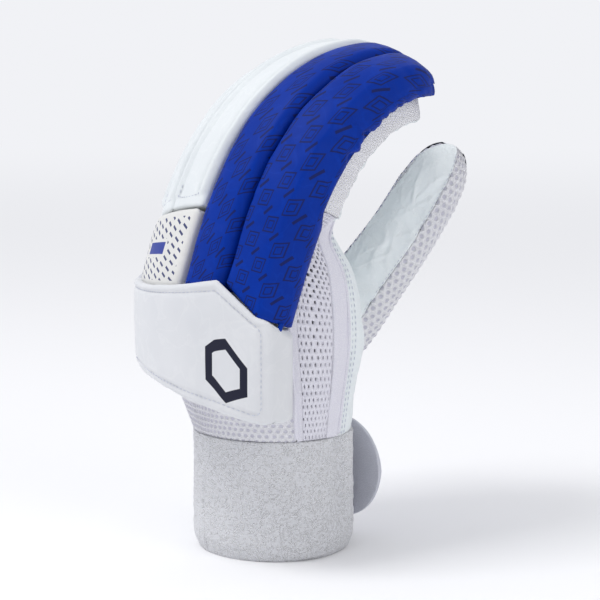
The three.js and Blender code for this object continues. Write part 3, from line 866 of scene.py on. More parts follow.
class Nodes:
    """Adds nodes to a tree, with sockets or plain values as inputs."""

    def __init__(self, tree: bpy.types.NodeTree) -> None:
        """Keeps the tree."""
        self.tree = tree

    def add(self, kind: str, inputs: dict | None = None, **settings: object) -> bpy.types.Node:
        """A node with its settings and inputs.

        Args:
            kind: the node's type.
            inputs: socket names or numbers with a value or a socket each.
            settings: the node's own properties.

        Returns:
            The node.
        """
        node = self.tree.nodes.new(kind)
        for key, value in settings.items():
            setattr(node, key, value)
        for key, value in (inputs or {}).items():
            if isinstance(value, bpy.types.NodeSocket):
                self.tree.links.new(value, node.inputs[key])
            else:
                node.inputs[key].default_value = value
        return node

    def math(self, operation: str, *values: object, clamp: bool = False) -> Socket:
        """Result of a math node."""
        inputs = dict(enumerate(values))
        return self.add("ShaderNodeMath", inputs, operation=operation, use_clamp=clamp).outputs[0]

    def spread(self, value: Socket, low: float, high: float, to_low: float = 0.0,
               to_high: float = 1.0) -> Socket:
        """Smooth map of a value from one range to another."""
        names = ("Value", "From Min", "From Max", "To Min", "To Max")
        inputs = dict(zip(names, (value, low, high, to_low, to_high)))
        return self.add("ShaderNodeMapRange", inputs, interpolation_type="SMOOTHSTEP").outputs[0]

    def within(self, value: Socket, low: float, high: float) -> Socket:
        """Mask that is 1 where the size of a value is under low and 0 where it is over high."""
        return self.spread(self.math("ABSOLUTE", value), low, high, 1.0, 0.0)

    def noise(self, vector: Socket, scale: object, detail: float = 3.0, warp: float = 0.0) -> Socket:
        """Noise value at a scale."""
        inputs = {"Vector": vector, "Scale": scale, "Detail": detail, "Distortion": warp}
        return self.add("ShaderNodeTexNoise", inputs).outputs["Fac"]

    def mix(self, share: object, first: object, second: object) -> Socket:
        """Mix of two colours."""
        return self.add("ShaderNodeMix", {0: share, 6: first, 7: second}, data_type="RGBA").outputs[2]

    def vector(self, x: object, y: object, z: object = 0.0) -> Socket:
        """Vector from three parts."""
        return self.add("ShaderNodeCombineXYZ", {0: x, 1: y, 2: z}).outputs[0]

    def parts(self, vector: Socket) -> tuple[Socket, Socket, Socket]:
        """Three parts of a vector."""
        node = self.add("ShaderNodeSeparateXYZ", {0: vector})
        return node.outputs[0], node.outputs[1], node.outputs[2]

    def scaled(self, vector: Socket, scale: object) -> Socket:
        """Vector times a number."""
        return self.add("ShaderNodeVectorMath", {0: vector, "Scale": scale}, operation="SCALE").outputs[0]

    def turned(self, vector: Socket, degrees: float) -> Socket:
        """Vector turned in its plane."""
        turn = (0, 0, math.radians(degrees))
        return self.add("ShaderNodeMapping", {0: vector, "Rotation": turn}).outputs[0]


def new_group(name: str, inputs: dict[str, float | None], outputs: Sequence[str]) -> Nodes:
    """An empty shader group with named sockets.

    Args:
        name: the group's name.
        inputs: names with a plain value each, or None for a vector.
        outputs: names of the values that it puts out.

    Returns:
        The group's node builder.
    """
    tree = bpy.data.node_groups.new(name, "ShaderNodeTree")
    for key, value in inputs.items():
        kind = "NodeSocketVector" if value is None else "NodeSocketFloat"
        socket = tree.interface.new_socket(key, in_out="INPUT", socket_type=kind)
        if value is not None:
            socket.default_value = value
    for key in outputs:
        tree.interface.new_socket(key, in_out="OUTPUT", socket_type="NodeSocketFloat")
    return Nodes(tree)


def close_group(nodes: Nodes, results: dict[str | int, Socket]) -> bpy.types.NodeTree:
    """Links a group's results to its outputs."""
    nodes.add("NodeGroupOutput", results)
    return nodes.tree


@lru_cache(maxsize=1)
def leather_grain() -> bpy.types.NodeTree:
    """Pebbled leather with fine wandering creases and soft patches."""
    inputs = {"Vector": None, "Pebble": 900.0, "Crease": 140.0, "Depth": 0.5}
    nodes = new_group("leather_grain", inputs, ("Height", "Tone"))
    given = nodes.add("NodeGroupInput").outputs
    pebble = nodes.add("ShaderNodeTexVoronoi", {"Vector": given["Vector"], "Scale": given["Pebble"]},
                       feature="SMOOTH_F1").outputs["Distance"]
    bent = nodes.noise(given["Vector"], given["Crease"], 4.0, 0.6)
    line = nodes.within(nodes.math("SUBTRACT", bent, 0.5), 0.0, 0.035)
    patch = nodes.noise(given["Vector"], 38.0, 3.0)
    deep = nodes.math("MULTIPLY", line, given["Depth"])
    height = nodes.math("SUBTRACT", nodes.math("MULTIPLY", pebble, 0.5), deep)
    tone = nodes.math("ADD", nodes.math("MULTIPLY", patch, 0.75), nodes.math("MULTIPLY", line, 0.2))
    return close_group(nodes, {"Height": height, "Tone": tone})


@lru_cache(maxsize=1)
def knit_loops() -> bpy.types.NodeTree:
    """Small closed loops of a bouclé knit, with slack and tight patches; its tone is painted shade between
    the loops, mixed with random patches.
    """
    nodes = new_group("knit_loops", {"Vector": None, "Loop": 900.0}, ("Height", "Tone"))
    given = nodes.add("NodeGroupInput").outputs
    warp = nodes.noise(given["Vector"], nodes.math("MULTIPLY", given["Loop"], 0.4), 2.0)
    shift = nodes.scaled(nodes.vector(warp, warp), 0.001)
    moved = nodes.add("ShaderNodeVectorMath", {0: given["Vector"], 1: shift}, operation="ADD").outputs[0]
    loop = nodes.add("ShaderNodeTexVoronoi", {"Vector": moved, "Scale": given["Loop"]}).outputs["Distance"]
    round_loop = nodes.spread(loop, 0.05, 0.6, 1.0, 0.0)
    patch = nodes.noise(given["Vector"], 60.0, 2.0)
    # Tone: painted shade, darker in the gaps between loops, mixed with random patches of the knit's own tone.
    tone = nodes.math("ADD", nodes.math("MULTIPLY", round_loop, 0.7), nodes.math("MULTIPLY", patch, 0.3))
    return close_group(nodes, {"Height": round_loop, "Tone": tone})


@lru_cache(maxsize=1)
def mesh_cells() -> bpy.types.NodeTree:
    """Honeycomb of round dimples in a knitted spacer mesh, with fine threads between them."""
    nodes = new_group("mesh_cells", {"Vector": None, "Pitch": 2.8}, ("Height", "Hole"))
    given = nodes.add("NodeGroupInput").outputs
    x, y, _ = nodes.parts(nodes.scaled(given["Vector"], 1 / MM))
    rise = nodes.math("MULTIPLY", given["Pitch"], math.sqrt(3))

    def lattice(shift: float) -> Socket:
        """Distance to the nearest point of a lattice shifted by a share of its steps."""
        sides = []
        for value, step in ((x, given["Pitch"]), (y, rise)):
            half = nodes.math("MULTIPLY", step, 0.5)
            moved = nodes.math("ADD", value, nodes.math("MULTIPLY", step, shift))
            wrapped = nodes.math("WRAP", moved, half, nodes.math("MULTIPLY", half, -1.0))
            sides.append(nodes.math("MULTIPLY", wrapped, wrapped))
        return nodes.math("SQRT", nodes.math("ADD", *sides))

    distance = nodes.math("DIVIDE", nodes.math("MINIMUM", lattice(0.0), lattice(0.5)), given["Pitch"])
    # Mask of the holes, which the finishes fill with painted shade.
    hole = nodes.spread(distance, 0.16, 0.34, 1.0, 0.0)
    lip = nodes.math("MULTIPLY", nodes.spread(distance, 0.3, 0.4),
                     nodes.spread(distance, 0.42, 0.55, 1.0, 0.0))
    thread = nodes.noise(given["Vector"], 2600.0, 2.0)
    height = nodes.math("SUBTRACT", nodes.math("ADD", lip, nodes.math("MULTIPLY", thread, 0.35)), hole)
    return close_group(nodes, {"Height": height, "Hole": hole})


@lru_cache(maxsize=1)
def soiling() -> bpy.types.NodeTree:
    """Faint handling marks: soft patches with a few sparse specks."""
    nodes = new_group("soiling", {"Vector": None, "Amount": 0.5}, ("Mask",))
    given = nodes.add("NodeGroupInput").outputs
    patch = nodes.spread(nodes.noise(given["Vector"], 26.0, 5.0), 0.45, 0.75)
    speck = nodes.spread(nodes.noise(given["Vector"], 420.0, 1.0), 0.74, 0.8)
    mask = nodes.math("MULTIPLY", nodes.math("ADD", patch, speck, clamp=True), given["Amount"])
    return close_group(nodes, {"Mask": mask})


# Prints

class Print(Enum):
    """What is printed on a surface."""

    NONE = "none"
    LOZENGES = "lozenges"
    DASHES = "dashes"
    RING = "ring"


@dataclass(frozen=True)
class Box:
    """A rectangle of a print, as its centre and its half sizes."""

    x: float
    y: float
    half_width: float
    half_height: float
    blur: float = 0.1

    def mask(self, nodes: Nodes, x: Socket, y: Socket, grow: float = 0.0) -> Socket:
        """Mask of the rectangle, grown by a margin."""
        sides = []
        for value, middle, half in ((x, self.x, self.half_width), (y, self.y, self.half_height)):
            away = nodes.math("SUBTRACT", value, middle)
            sides.append(nodes.within(away, half + grow - self.blur, half + grow + self.blur))
        return nodes.math("MULTIPLY", *sides)


@dataclass(frozen=True)
class LozengePrint:
    """Outlined slanting lozenges, each with a short bar beside it."""

    pitch: tuple[float, float] = (9.5, 15.0)
    half: tuple[float, float] = (2.9, 6.2)
    turn: float = 24.0
    stagger: float = 0.37
    slope: float = 0.5
    aside: float = 1.0
    bar_place: float = 3.6

    def mask(self, nodes: Nodes, flat: Socket) -> Socket:
        """Mask of the lozenges and bars."""
        x, y, _ = nodes.parts(nodes.turned(nodes.scaled(flat, 1 / MM), self.turn))
        wide, high = self.pitch
        column = nodes.math("FLOOR", nodes.math("DIVIDE", x, wide))
        shifted = nodes.math("ADD", y, nodes.math("MULTIPLY", column, high * self.stagger))
        across = nodes.math("SUBTRACT", nodes.math("FLOORED_MODULO", x, wide), wide / 2)
        along = nodes.math("WRAP", shifted, high / 2, -high / 2)
        slant = nodes.math("ADD", along, nodes.math("MULTIPLY", across, self.slope))
        sides = [nodes.math("ABSOLUTE", side) for side in (nodes.math("ADD", across, self.aside), slant)]
        shares = [nodes.math("DIVIDE", side, half) for side, half in zip(sides, self.half)]
        edge = nodes.math("SUBTRACT", nodes.math("ADD", *shares), 1.0)
        outline = nodes.math("MAXIMUM", nodes.within(edge, 0.07, 0.13),
                             nodes.within(nodes.math("ADD", edge, 0.5), 0.05, 0.11))
        bar = nodes.math("MULTIPLY", nodes.within(nodes.math("SUBTRACT", across, self.bar_place), 0.45, 0.6),
                         nodes.within(slant, 3.4, 3.6))
        return nodes.math("MAXIMUM", outline, bar)


@dataclass(frozen=True)
class DashPrint:
    """Rows of slanting dashes inside the badge's border, round a plain bar."""

    pitch: tuple[float, float] = (3.1, 5.8)
    turn: float = -58.0
    stagger: float = 1.3
    width: float = 51.6
    height: float = 33.0
    border: float = 3.0
    bar: Box = Box(27.0, 17.0, 8.5, 2.6)
    clear: float = 1.4

    def masks(self, nodes: Nodes, flat: Socket) -> tuple[Socket, Socket]:
        """Masks of the dashes and of the bar."""
        x, y, _ = nodes.parts(nodes.scaled(flat, 1 / MM))
        slanted, rows, _ = nodes.parts(nodes.turned(nodes.scaled(flat, 1 / MM), self.turn))
        step, rise = self.pitch
        row = nodes.math("FLOOR", nodes.math("DIVIDE", rows, rise))
        shifted = nodes.math("ADD", slanted, nodes.math("MULTIPLY", row, self.stagger))
        across = nodes.math("WRAP", shifted, step / 2, -step / 2)
        along = nodes.math("SUBTRACT", nodes.math("FLOORED_MODULO", rows, rise), rise / 2)
        dash = nodes.math("MULTIPLY", nodes.within(across, 0.42, 0.55), nodes.within(along, 1.7, 1.9))
        half_width, half_height = self.width / 2, self.height / 2
        face = Box(half_width, half_height, half_width - self.border, half_height - self.border)
        around = nodes.math("SUBTRACT", 1.0, self.bar.mask(nodes, x, y, self.clear))
        inside = nodes.math("MULTIPLY", dash, face.mask(nodes, x, y))
        return nodes.math("MULTIPLY", inside, around), self.bar.mask(nodes, x, y)


@dataclass(frozen=True)
class RingPrint:
    """Plain six-sided ring on the cuff."""

    centre: tuple[float, float] = (129.0, 16.0)
    inner: float = 6.4
    outer: float = 9.8
    blur: float = 0.2

    def mask(self, nodes: Nodes, flat: Socket) -> Socket:
        """Mask of the ring."""
        flat_x, flat_y, _ = nodes.parts(nodes.scaled(flat, 1 / MM))
        x, y = nodes.math("SUBTRACT", flat_x, self.centre[0]), nodes.math("SUBTRACT", flat_y, self.centre[1])
        sides = []
        for degrees in (0, 60, 120):
            turn = math.radians(degrees)
            parts = nodes.math("MULTIPLY", x, math.cos(turn)), nodes.math("MULTIPLY", y, math.sin(turn))
            sides.append(nodes.math("ABSOLUTE", nodes.math("ADD", *parts)))
        reach = nodes.math("MAXIMUM", nodes.math("MAXIMUM", sides[0], sides[1]), sides[2])
        return nodes.math("MULTIPLY", nodes.spread(reach, self.inner, self.inner + self.blur),
                          nodes.spread(reach, self.outer, self.outer + self.blur, 1.0, 0.0))


# Finishes

class Grain(Enum):
    """Surface relief that a finish has."""

    LEATHER = "leather"
    KNIT = "knit"
    MESH = "mesh"
    FLEECE = "fleece"


@dataclass(frozen=True)
class Finish:
    """One material of the glove. Colours are red, green and blue from 0 to 255."""

    name: str
    slot: str
    colour: tuple[float, float, float]
    # shade: the darker colour, taken by random tone and handling marks, and as painted shade between knit
    # loops and in mesh holes.
    shade: tuple[float, float, float]
    grain: Grain
    rough: tuple[float, float] = (0.45, 0.6)
    bump: float = 0.12
    scale: float = 900.0
    crease: float = 140.0
    crease_depth: float = 0.5
    sheen: float = 0.0
    coat: float = 0.0
    shine: float = 0.35
    soil: float = 0.25
    pattern: Print = Print.NONE
    ink: tuple[float, float, float] = (30, 36, 80)
    second_ink: tuple[float, float, float] = (40, 60, 150)

    def build(self) -> bpy.types.Material:
        """Makes the material."""
        material = bpy.data.materials.new(self.name)
        material.use_nodes = True
        material.node_tree.nodes.clear()
        nodes = Nodes(material.node_tree)
        flat = nodes.add("ShaderNodeUVMap", uv_map=SURFACE).outputs[0]
        place = nodes.add("ShaderNodeTexCoord").outputs["Object"]
        height, tone = self._relief(nodes, flat, place)
        # Darker colour where the grain's tone is low: random tone on leather, painted shade between knit and
        # fleece loops and in mesh holes.
        colour = nodes.mix(tone, linear(self.shade), linear(self.colour))
        marks = nodes.add("ShaderNodeGroup", {"Vector": place, "Amount": self.soil}, node_tree=soiling())
        colour = nodes.mix(marks.outputs["Mask"], colour, linear(self.shade))
        colour = self._printed(nodes, flat, colour)
        rough = nodes.spread(tone, 0.0, 1.0, self.rough[1], self.rough[0])
        bump = nodes.add("ShaderNodeBump", {"Height": height, "Strength": 1.0, "Distance": self.bump * MM})
        shader = nodes.add("ShaderNodeBsdfPrincipled", {
            "Base Color": colour,
            "Roughness": rough,
            "Normal": bump.outputs[0],
            "Sheen Weight": self.sheen,
            "Sheen Roughness": 0.5,
            "Coat Weight": self.coat,
            "Coat Roughness": 0.35,
            "Specular IOR Level": self.shine,
        })
        nodes.add("ShaderNodeOutputMaterial", {"Surface": shader.outputs[0]})
        return material

    def _relief(self, nodes: Nodes, flat: Socket, place: Socket) -> tuple[Socket, Socket]:
        """Height and tone of the finish's grain. The mesh's tone is painted shade in its holes, and the
        knit's is partly painted shade between its loops.
        """
        if self.grain is Grain.MESH:
            inputs = {"Vector": flat, "Pitch": self.scale}
            node = nodes.add("ShaderNodeGroup", inputs, node_tree=mesh_cells())
            # The holes take the darker colour: painted shade in the holes.
            return node.outputs["Height"], nodes.math("SUBTRACT", 1.0, node.outputs["Hole"])
        if self.grain is Grain.LEATHER:
            sizes = {"Pebble": self.scale, "Crease": self.crease, "Depth": self.crease_depth}
            inputs = {"Vector": place, **sizes}
            node = nodes.add("ShaderNodeGroup", inputs, node_tree=leather_grain())
        else:
            node = nodes.add("ShaderNodeGroup", {"Vector": place, "Loop": self.scale}, node_tree=knit_loops())
        return node.outputs["Height"], node.outputs["Tone"]

    def _printed(self, nodes: Nodes, flat: Socket, colour: Socket) -> Socket:
        """The colour with the finish's print over it."""
        if self.pattern is Print.LOZENGES:
            mask = nodes.math("MULTIPLY", LozengePrint().mask(nodes, flat), 0.8)
            return nodes.mix(mask, colour, linear(self.ink))
        if self.pattern is Print.RING:
            return nodes.mix(RingPrint().mask(nodes, flat), colour, linear(self.ink))
        if self.pattern is Print.DASHES:
            dashes, bar = DashPrint().masks(nodes, flat)
            colour = nodes.mix(dashes, colour, linear(self.ink))
            return nodes.mix(bar, colour, linear(self.second_ink))
        return colour


SMOOTH = {"bump": 0.03, "scale": 1500.0, "crease": 60.0, "crease_depth": 0.1}
GLOSS, DULL, MATTE = (0.42, 0.55), (0.75, 0.85), (0.85, 0.95)
WHITE = Finish("white_pad_leather", "white_pad", (234, 238, 239), (220, 225, 228), Grain.LEATHER,
               coat=0.06, **SMOOTH)
CUFF_WHITE = Finish("cuff_leather", "white_pad", (228, 229, 231), (214, 216, 220), Grain.LEATHER,
                    pattern=Print.RING, ink=(10, 14, 42), **SMOOTH)
BADGE_WHITE = Finish("badge_leather", "badge", (232, 231, 228), (216, 216, 214), Grain.LEATHER,
                     pattern=Print.DASHES, ink=(58, 66, 110), **SMOOTH)
BLUE = Finish("blue_roll_leather", "blue_roll", (0, 56, 168), (0, 42, 140), Grain.LEATHER, GLOSS, bump=0.03,
              scale=1500.0, crease=70.0, crease_depth=0.25, shine=0.1, soil=0.12, pattern=Print.LOZENGES,
              ink=(26, 30, 72))
PLAIN_BLUE = Finish("blue_shell_leather", "blue_roll", (0, 58, 164), (0, 42, 138), Grain.LEATHER, GLOSS,
                    bump=0.04, crease=90.0, crease_depth=0.3, shine=0.1, soil=0.12)
NAVY = Finish("navy_shell_leather", "navy_shell", (18, 26, 60), (10, 15, 38), Grain.LEATHER, GLOSS, bump=0.05,
              crease=110.0, crease_depth=0.4, shine=0.25)
LEATHER = Finish("palm_leather", "palm_leather", (246, 250, 251), (226, 233, 236), Grain.LEATHER, (0.5, 0.65),
                 bump=0.12, scale=1100.0, crease=150.0, crease_depth=0.7)
# The meshes' darker colours are mostly painted shade in their holes.
MESH = Finish("spacer_mesh", "spacer_mesh", (240, 240, 245), (196, 195, 208), Grain.MESH, DULL, bump=0.3,
              scale=3.2, sheen=0.15)
FINE_MESH = Finish("fine_mesh", "spacer_mesh", (251, 251, 253), (232, 231, 241), Grain.MESH, DULL, bump=0.2,
                   scale=1.7, sheen=0.15)
COARSE_MESH = Finish("coarse_mesh", "spacer_mesh", (243, 243, 247), (196, 195, 208), Grain.MESH, DULL,
                     bump=0.35, scale=4.2, sheen=0.15)
# Fleece, knit and thread finishes use the knit loops, so their darker colour is partly painted shade between
# the loops.
CLOTH = Finish("binding_cloth", "spacer_mesh", (238, 237, 243), (220, 219, 230), Grain.FLEECE, (0.8, 0.9),
               bump=0.1, scale=1600.0, sheen=0.2)
KNIT = Finish("terry_knit", "terry_knit", (247, 247, 248), (206, 207, 212), Grain.KNIT, MATTE, bump=0.5,
              scale=1000.0, sheen=0.25)
FLEECE = Finish("strap_fleece", "strap_fleece", (216, 218, 226), (196, 198, 209), Grain.FLEECE, MATTE,
                bump=0.12, scale=1800.0, sheen=0.3)
WHITE_THREAD = Finish("white_thread", "palm_leather", (226, 228, 236), (196, 200, 214), Grain.FLEECE,
                      (0.6, 0.7), bump=0.05, scale=4000.0)
BLUE_THREAD = Finish("blue_thread", "blue_roll", (40, 84, 190), (20, 50, 140), Grain.FLEECE,
                     (0.6, 0.7), bump=0.05, scale=4000.0)


@lru_cache(maxsize=32)
def material(finish: Finish) -> bpy.types.Material:
    """The material of a finish, made once."""
    return finish.build()


def dress(piece: bpy.types.Object, finish: Finish, *nodes: str) -> bpy.types.Object:
    """Gives a piece its finish and its body, and hides the solids that it replaces.

    Args:
        piece: the finished piece.
        finish: its material.
        nodes: names of the solids that it replaces.

    Returns:
        The piece.
    """
    if not piece.data.materials:
        piece.data.materials.append(material(finish))
    if nodes:
        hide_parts(*nodes)
    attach(piece, BODY)
    LOG.info("piece %s: %d faces", piece.name, len(piece.data.polygons))
    return piece


# Geometry Nodes for what repeats

def new_geometry_tree(name: str, sizes: Sequence[str]) -> Nodes:
    """A geometry tree with a geometry, some lengths and a material as inputs."""
    tree = bpy.data.node_groups.new(name, "GeometryNodeTree")
    tree.interface.new_socket("Geometry", in_out="INPUT", socket_type="NodeSocketGeometry")
    for size in sizes:
        tree.interface.new_socket(size, in_out="INPUT", socket_type="NodeSocketFloat")
    tree.interface.new_socket("Material", in_out="INPUT", socket_type="NodeSocketMaterial")
    tree.interface.new_socket("Geometry", in_out="OUTPUT", socket_type="NodeSocketGeometry")
    return Nodes(tree)


@lru_cache(maxsize=1)
def stitch_tree() -> bpy.types.NodeTree:
    """Rounded stitches of thread along each line of the input."""
    nodes = new_geometry_tree("stitch_run", ("Pitch", "Length", "Radius"))
    given = nodes.add("NodeGroupInput").outputs
    curve = nodes.add("GeometryNodeMeshToCurve", {"Mesh": given["Geometry"]}).outputs[0]
    spacing = {"Curve": curve, "Length": given["Pitch"]}
    sampled = nodes.add("GeometryNodeResampleCurve", spacing, mode="LENGTH")
    bead = nodes.add("GeometryNodeMeshUVSphere", {"Segments": 6, "Rings": 4, "Radius": given["Radius"]})
    tangent = nodes.add("GeometryNodeInputTangent").outputs[0]
    turn = nodes.add("FunctionNodeAlignRotationToVector", {"Vector": tangent}, axis="X").outputs[0]
    reach = nodes.math("DIVIDE", given["Length"], nodes.math("MULTIPLY", given["Radius"], 2.0))
    size = nodes.vector(reach, 1.0, 1.0)
    inputs = {"Points": sampled.outputs[0], "Instance": bead.outputs["Mesh"], "Rotation": turn, "Scale": size}
    placed = nodes.add("GeometryNodeInstanceOnPoints", inputs).outputs[0]
    real = nodes.add("GeometryNodeRealizeInstances", {0: placed}).outputs[0]
    smooth = nodes.add("GeometryNodeSetShadeSmooth", {0: real}).outputs[0]
    cover = {"Geometry": smooth, "Material": given["Material"]}
    done = nodes.add("GeometryNodeSetMaterial", cover).outputs[0]
    return close_group(nodes, {0: done})


@lru_cache(maxsize=1)
def perforation_tree() -> bpy.types.NodeTree:
    """A flat sheet of copies of one punched cell, every other row turned round."""
    nodes = new_geometry_tree("punched_sheet", ("Width", "Height", "Columns", "Rows"))
    given = nodes.add("NodeGroupInput").outputs
    sheet = nodes.add("GeometryNodeMeshGrid", {
        "Size X": given["Width"],
        "Size Y": given["Height"],
        "Vertices X": given["Columns"],
        "Vertices Y": given["Rows"],
    }).outputs["Mesh"]
    index = nodes.add("GeometryNodeInputIndex").outputs[0]
    odd = nodes.math("MODULO", nodes.math("MODULO", index, given["Rows"]), 2.0)
    turn = nodes.vector(0.0, 0.0, nodes.math("MULTIPLY", odd, math.pi))
    inputs = {"Points": sheet, "Instance": given["Geometry"], "Rotation": turn}
    placed = nodes.add("GeometryNodeInstanceOnPoints", inputs).outputs[0]
    real = nodes.add("GeometryNodeRealizeInstances", {0: placed}).outputs[0]
    joined = nodes.add("GeometryNodeMergeByDistance", {"Geometry": real, "Distance": 1e-5}).outputs[0]
    cover = {"Geometry": joined, "Material": given["Material"]}
    done = nodes.add("GeometryNodeSetMaterial", cover).outputs[0]
    return close_group(nodes, {0: done})


def grown_by_tree(source: bpy.types.Object, tree: bpy.types.NodeTree,
                  values: dict[str, object]) -> bpy.types.Mesh:
    """Result of a geometry tree on an object, as a plain mesh. The source object is removed.

    Args:
        source: the object that the tree works on.
        tree: the geometry tree.
        values: the tree's inputs by name.

    Returns:
        The mesh.
    """
    modifier = source.modifiers.new("tree", "NODES")
    modifier.node_group = tree
    for item in tree.interface.items_tree:
        if item.item_type == "SOCKET" and item.in_out == "INPUT" and item.name in values:
            modifier[item.identifier] = values[item.name]
    graph = bpy.context.evaluated_depsgraph_get()
    made = bpy.data.meshes.new_from_object(source.evaluated_get(graph))
    source.modifiers.remove(modifier)
    bpy.data.objects.remove(source)
    return made


def line_object(name: str, lines: Sequence[Array]) -> bpy.types.Object:
    """An object of plain edges along lines of points."""
    points = np.concatenate(lines)
    edges, start = [], 0
    for line in lines:
        edges += [(start + k, start + k + 1) for k in range(len(line) - 1)]
        start += len(line)
    mesh = bpy.data.meshes.new(name)
    mesh.from_pydata([tuple(p) for p in (points + ORIGIN) * MM], edges, [])
    return link(name, mesh)


def stitches(name: str, lines: Sequence[Array], finish: Finish, pitch: float = 2.6, length: float = 2.0,
             radius: float = 0.28) -> bpy.types.Object:
    """A piece of stitches along lines.

    Args:
        name: the piece's name.
        lines: polylines in millimetres, on the surface that is sewn.
        finish: the thread's finish.
        pitch: distance from stitch to stitch.
        length: length of a stitch.
        radius: radius of the thread.

    Returns:
        The dressed piece.
    """
    values = {"Pitch": pitch * MM, "Length": length * MM, "Radius": radius * MM, "Material": material(finish)}
    mesh = grown_by_tree(line_object(name + "_line", lines), stitch_tree(), values)
    return dress(link(name, mesh), finish)


def tube(name: str, line: Array, radius: float, finish: Finish, sides: int = 10) -> bpy.types.Object:
    """A round piping along a line.

    Args:
        name: the piece's name.
        line: points in millimetres.
        radius: radius of the piping.
        finish: its finish.
        sides: sides of its section.

    Returns:
        The dressed piece.
    """
    tangent = unit(np.gradient(line, axis=0))
    across = np.zeros_like(line)
    last = np.cross(tangent[0], (0.3, 0.5, 0.81))
    for k, direction in enumerate(tangent):
        last = unit(last - direction * float(last @ direction))
        across[k] = last
    other = np.cross(tangent, across)
    turn = np.radians(full_turn(sides))
    ring = across[:, None] * np.cos(turn)[None, :, None] + other[:, None] * np.sin(turn)[None, :, None]
    grid = Grid(line[:, None] + ring * radius, wrap_columns=True, cap_ends=True)
    return dress(grid_object(name, grid), finish)


# Padded pieces

CAP_INSETS = (0.3, 0.75, 0.95)


@dataclass(frozen=True)
class Edges:
    """One value for each of a pad's four edges."""

    left: float
    right: float
    low: float
    top: float


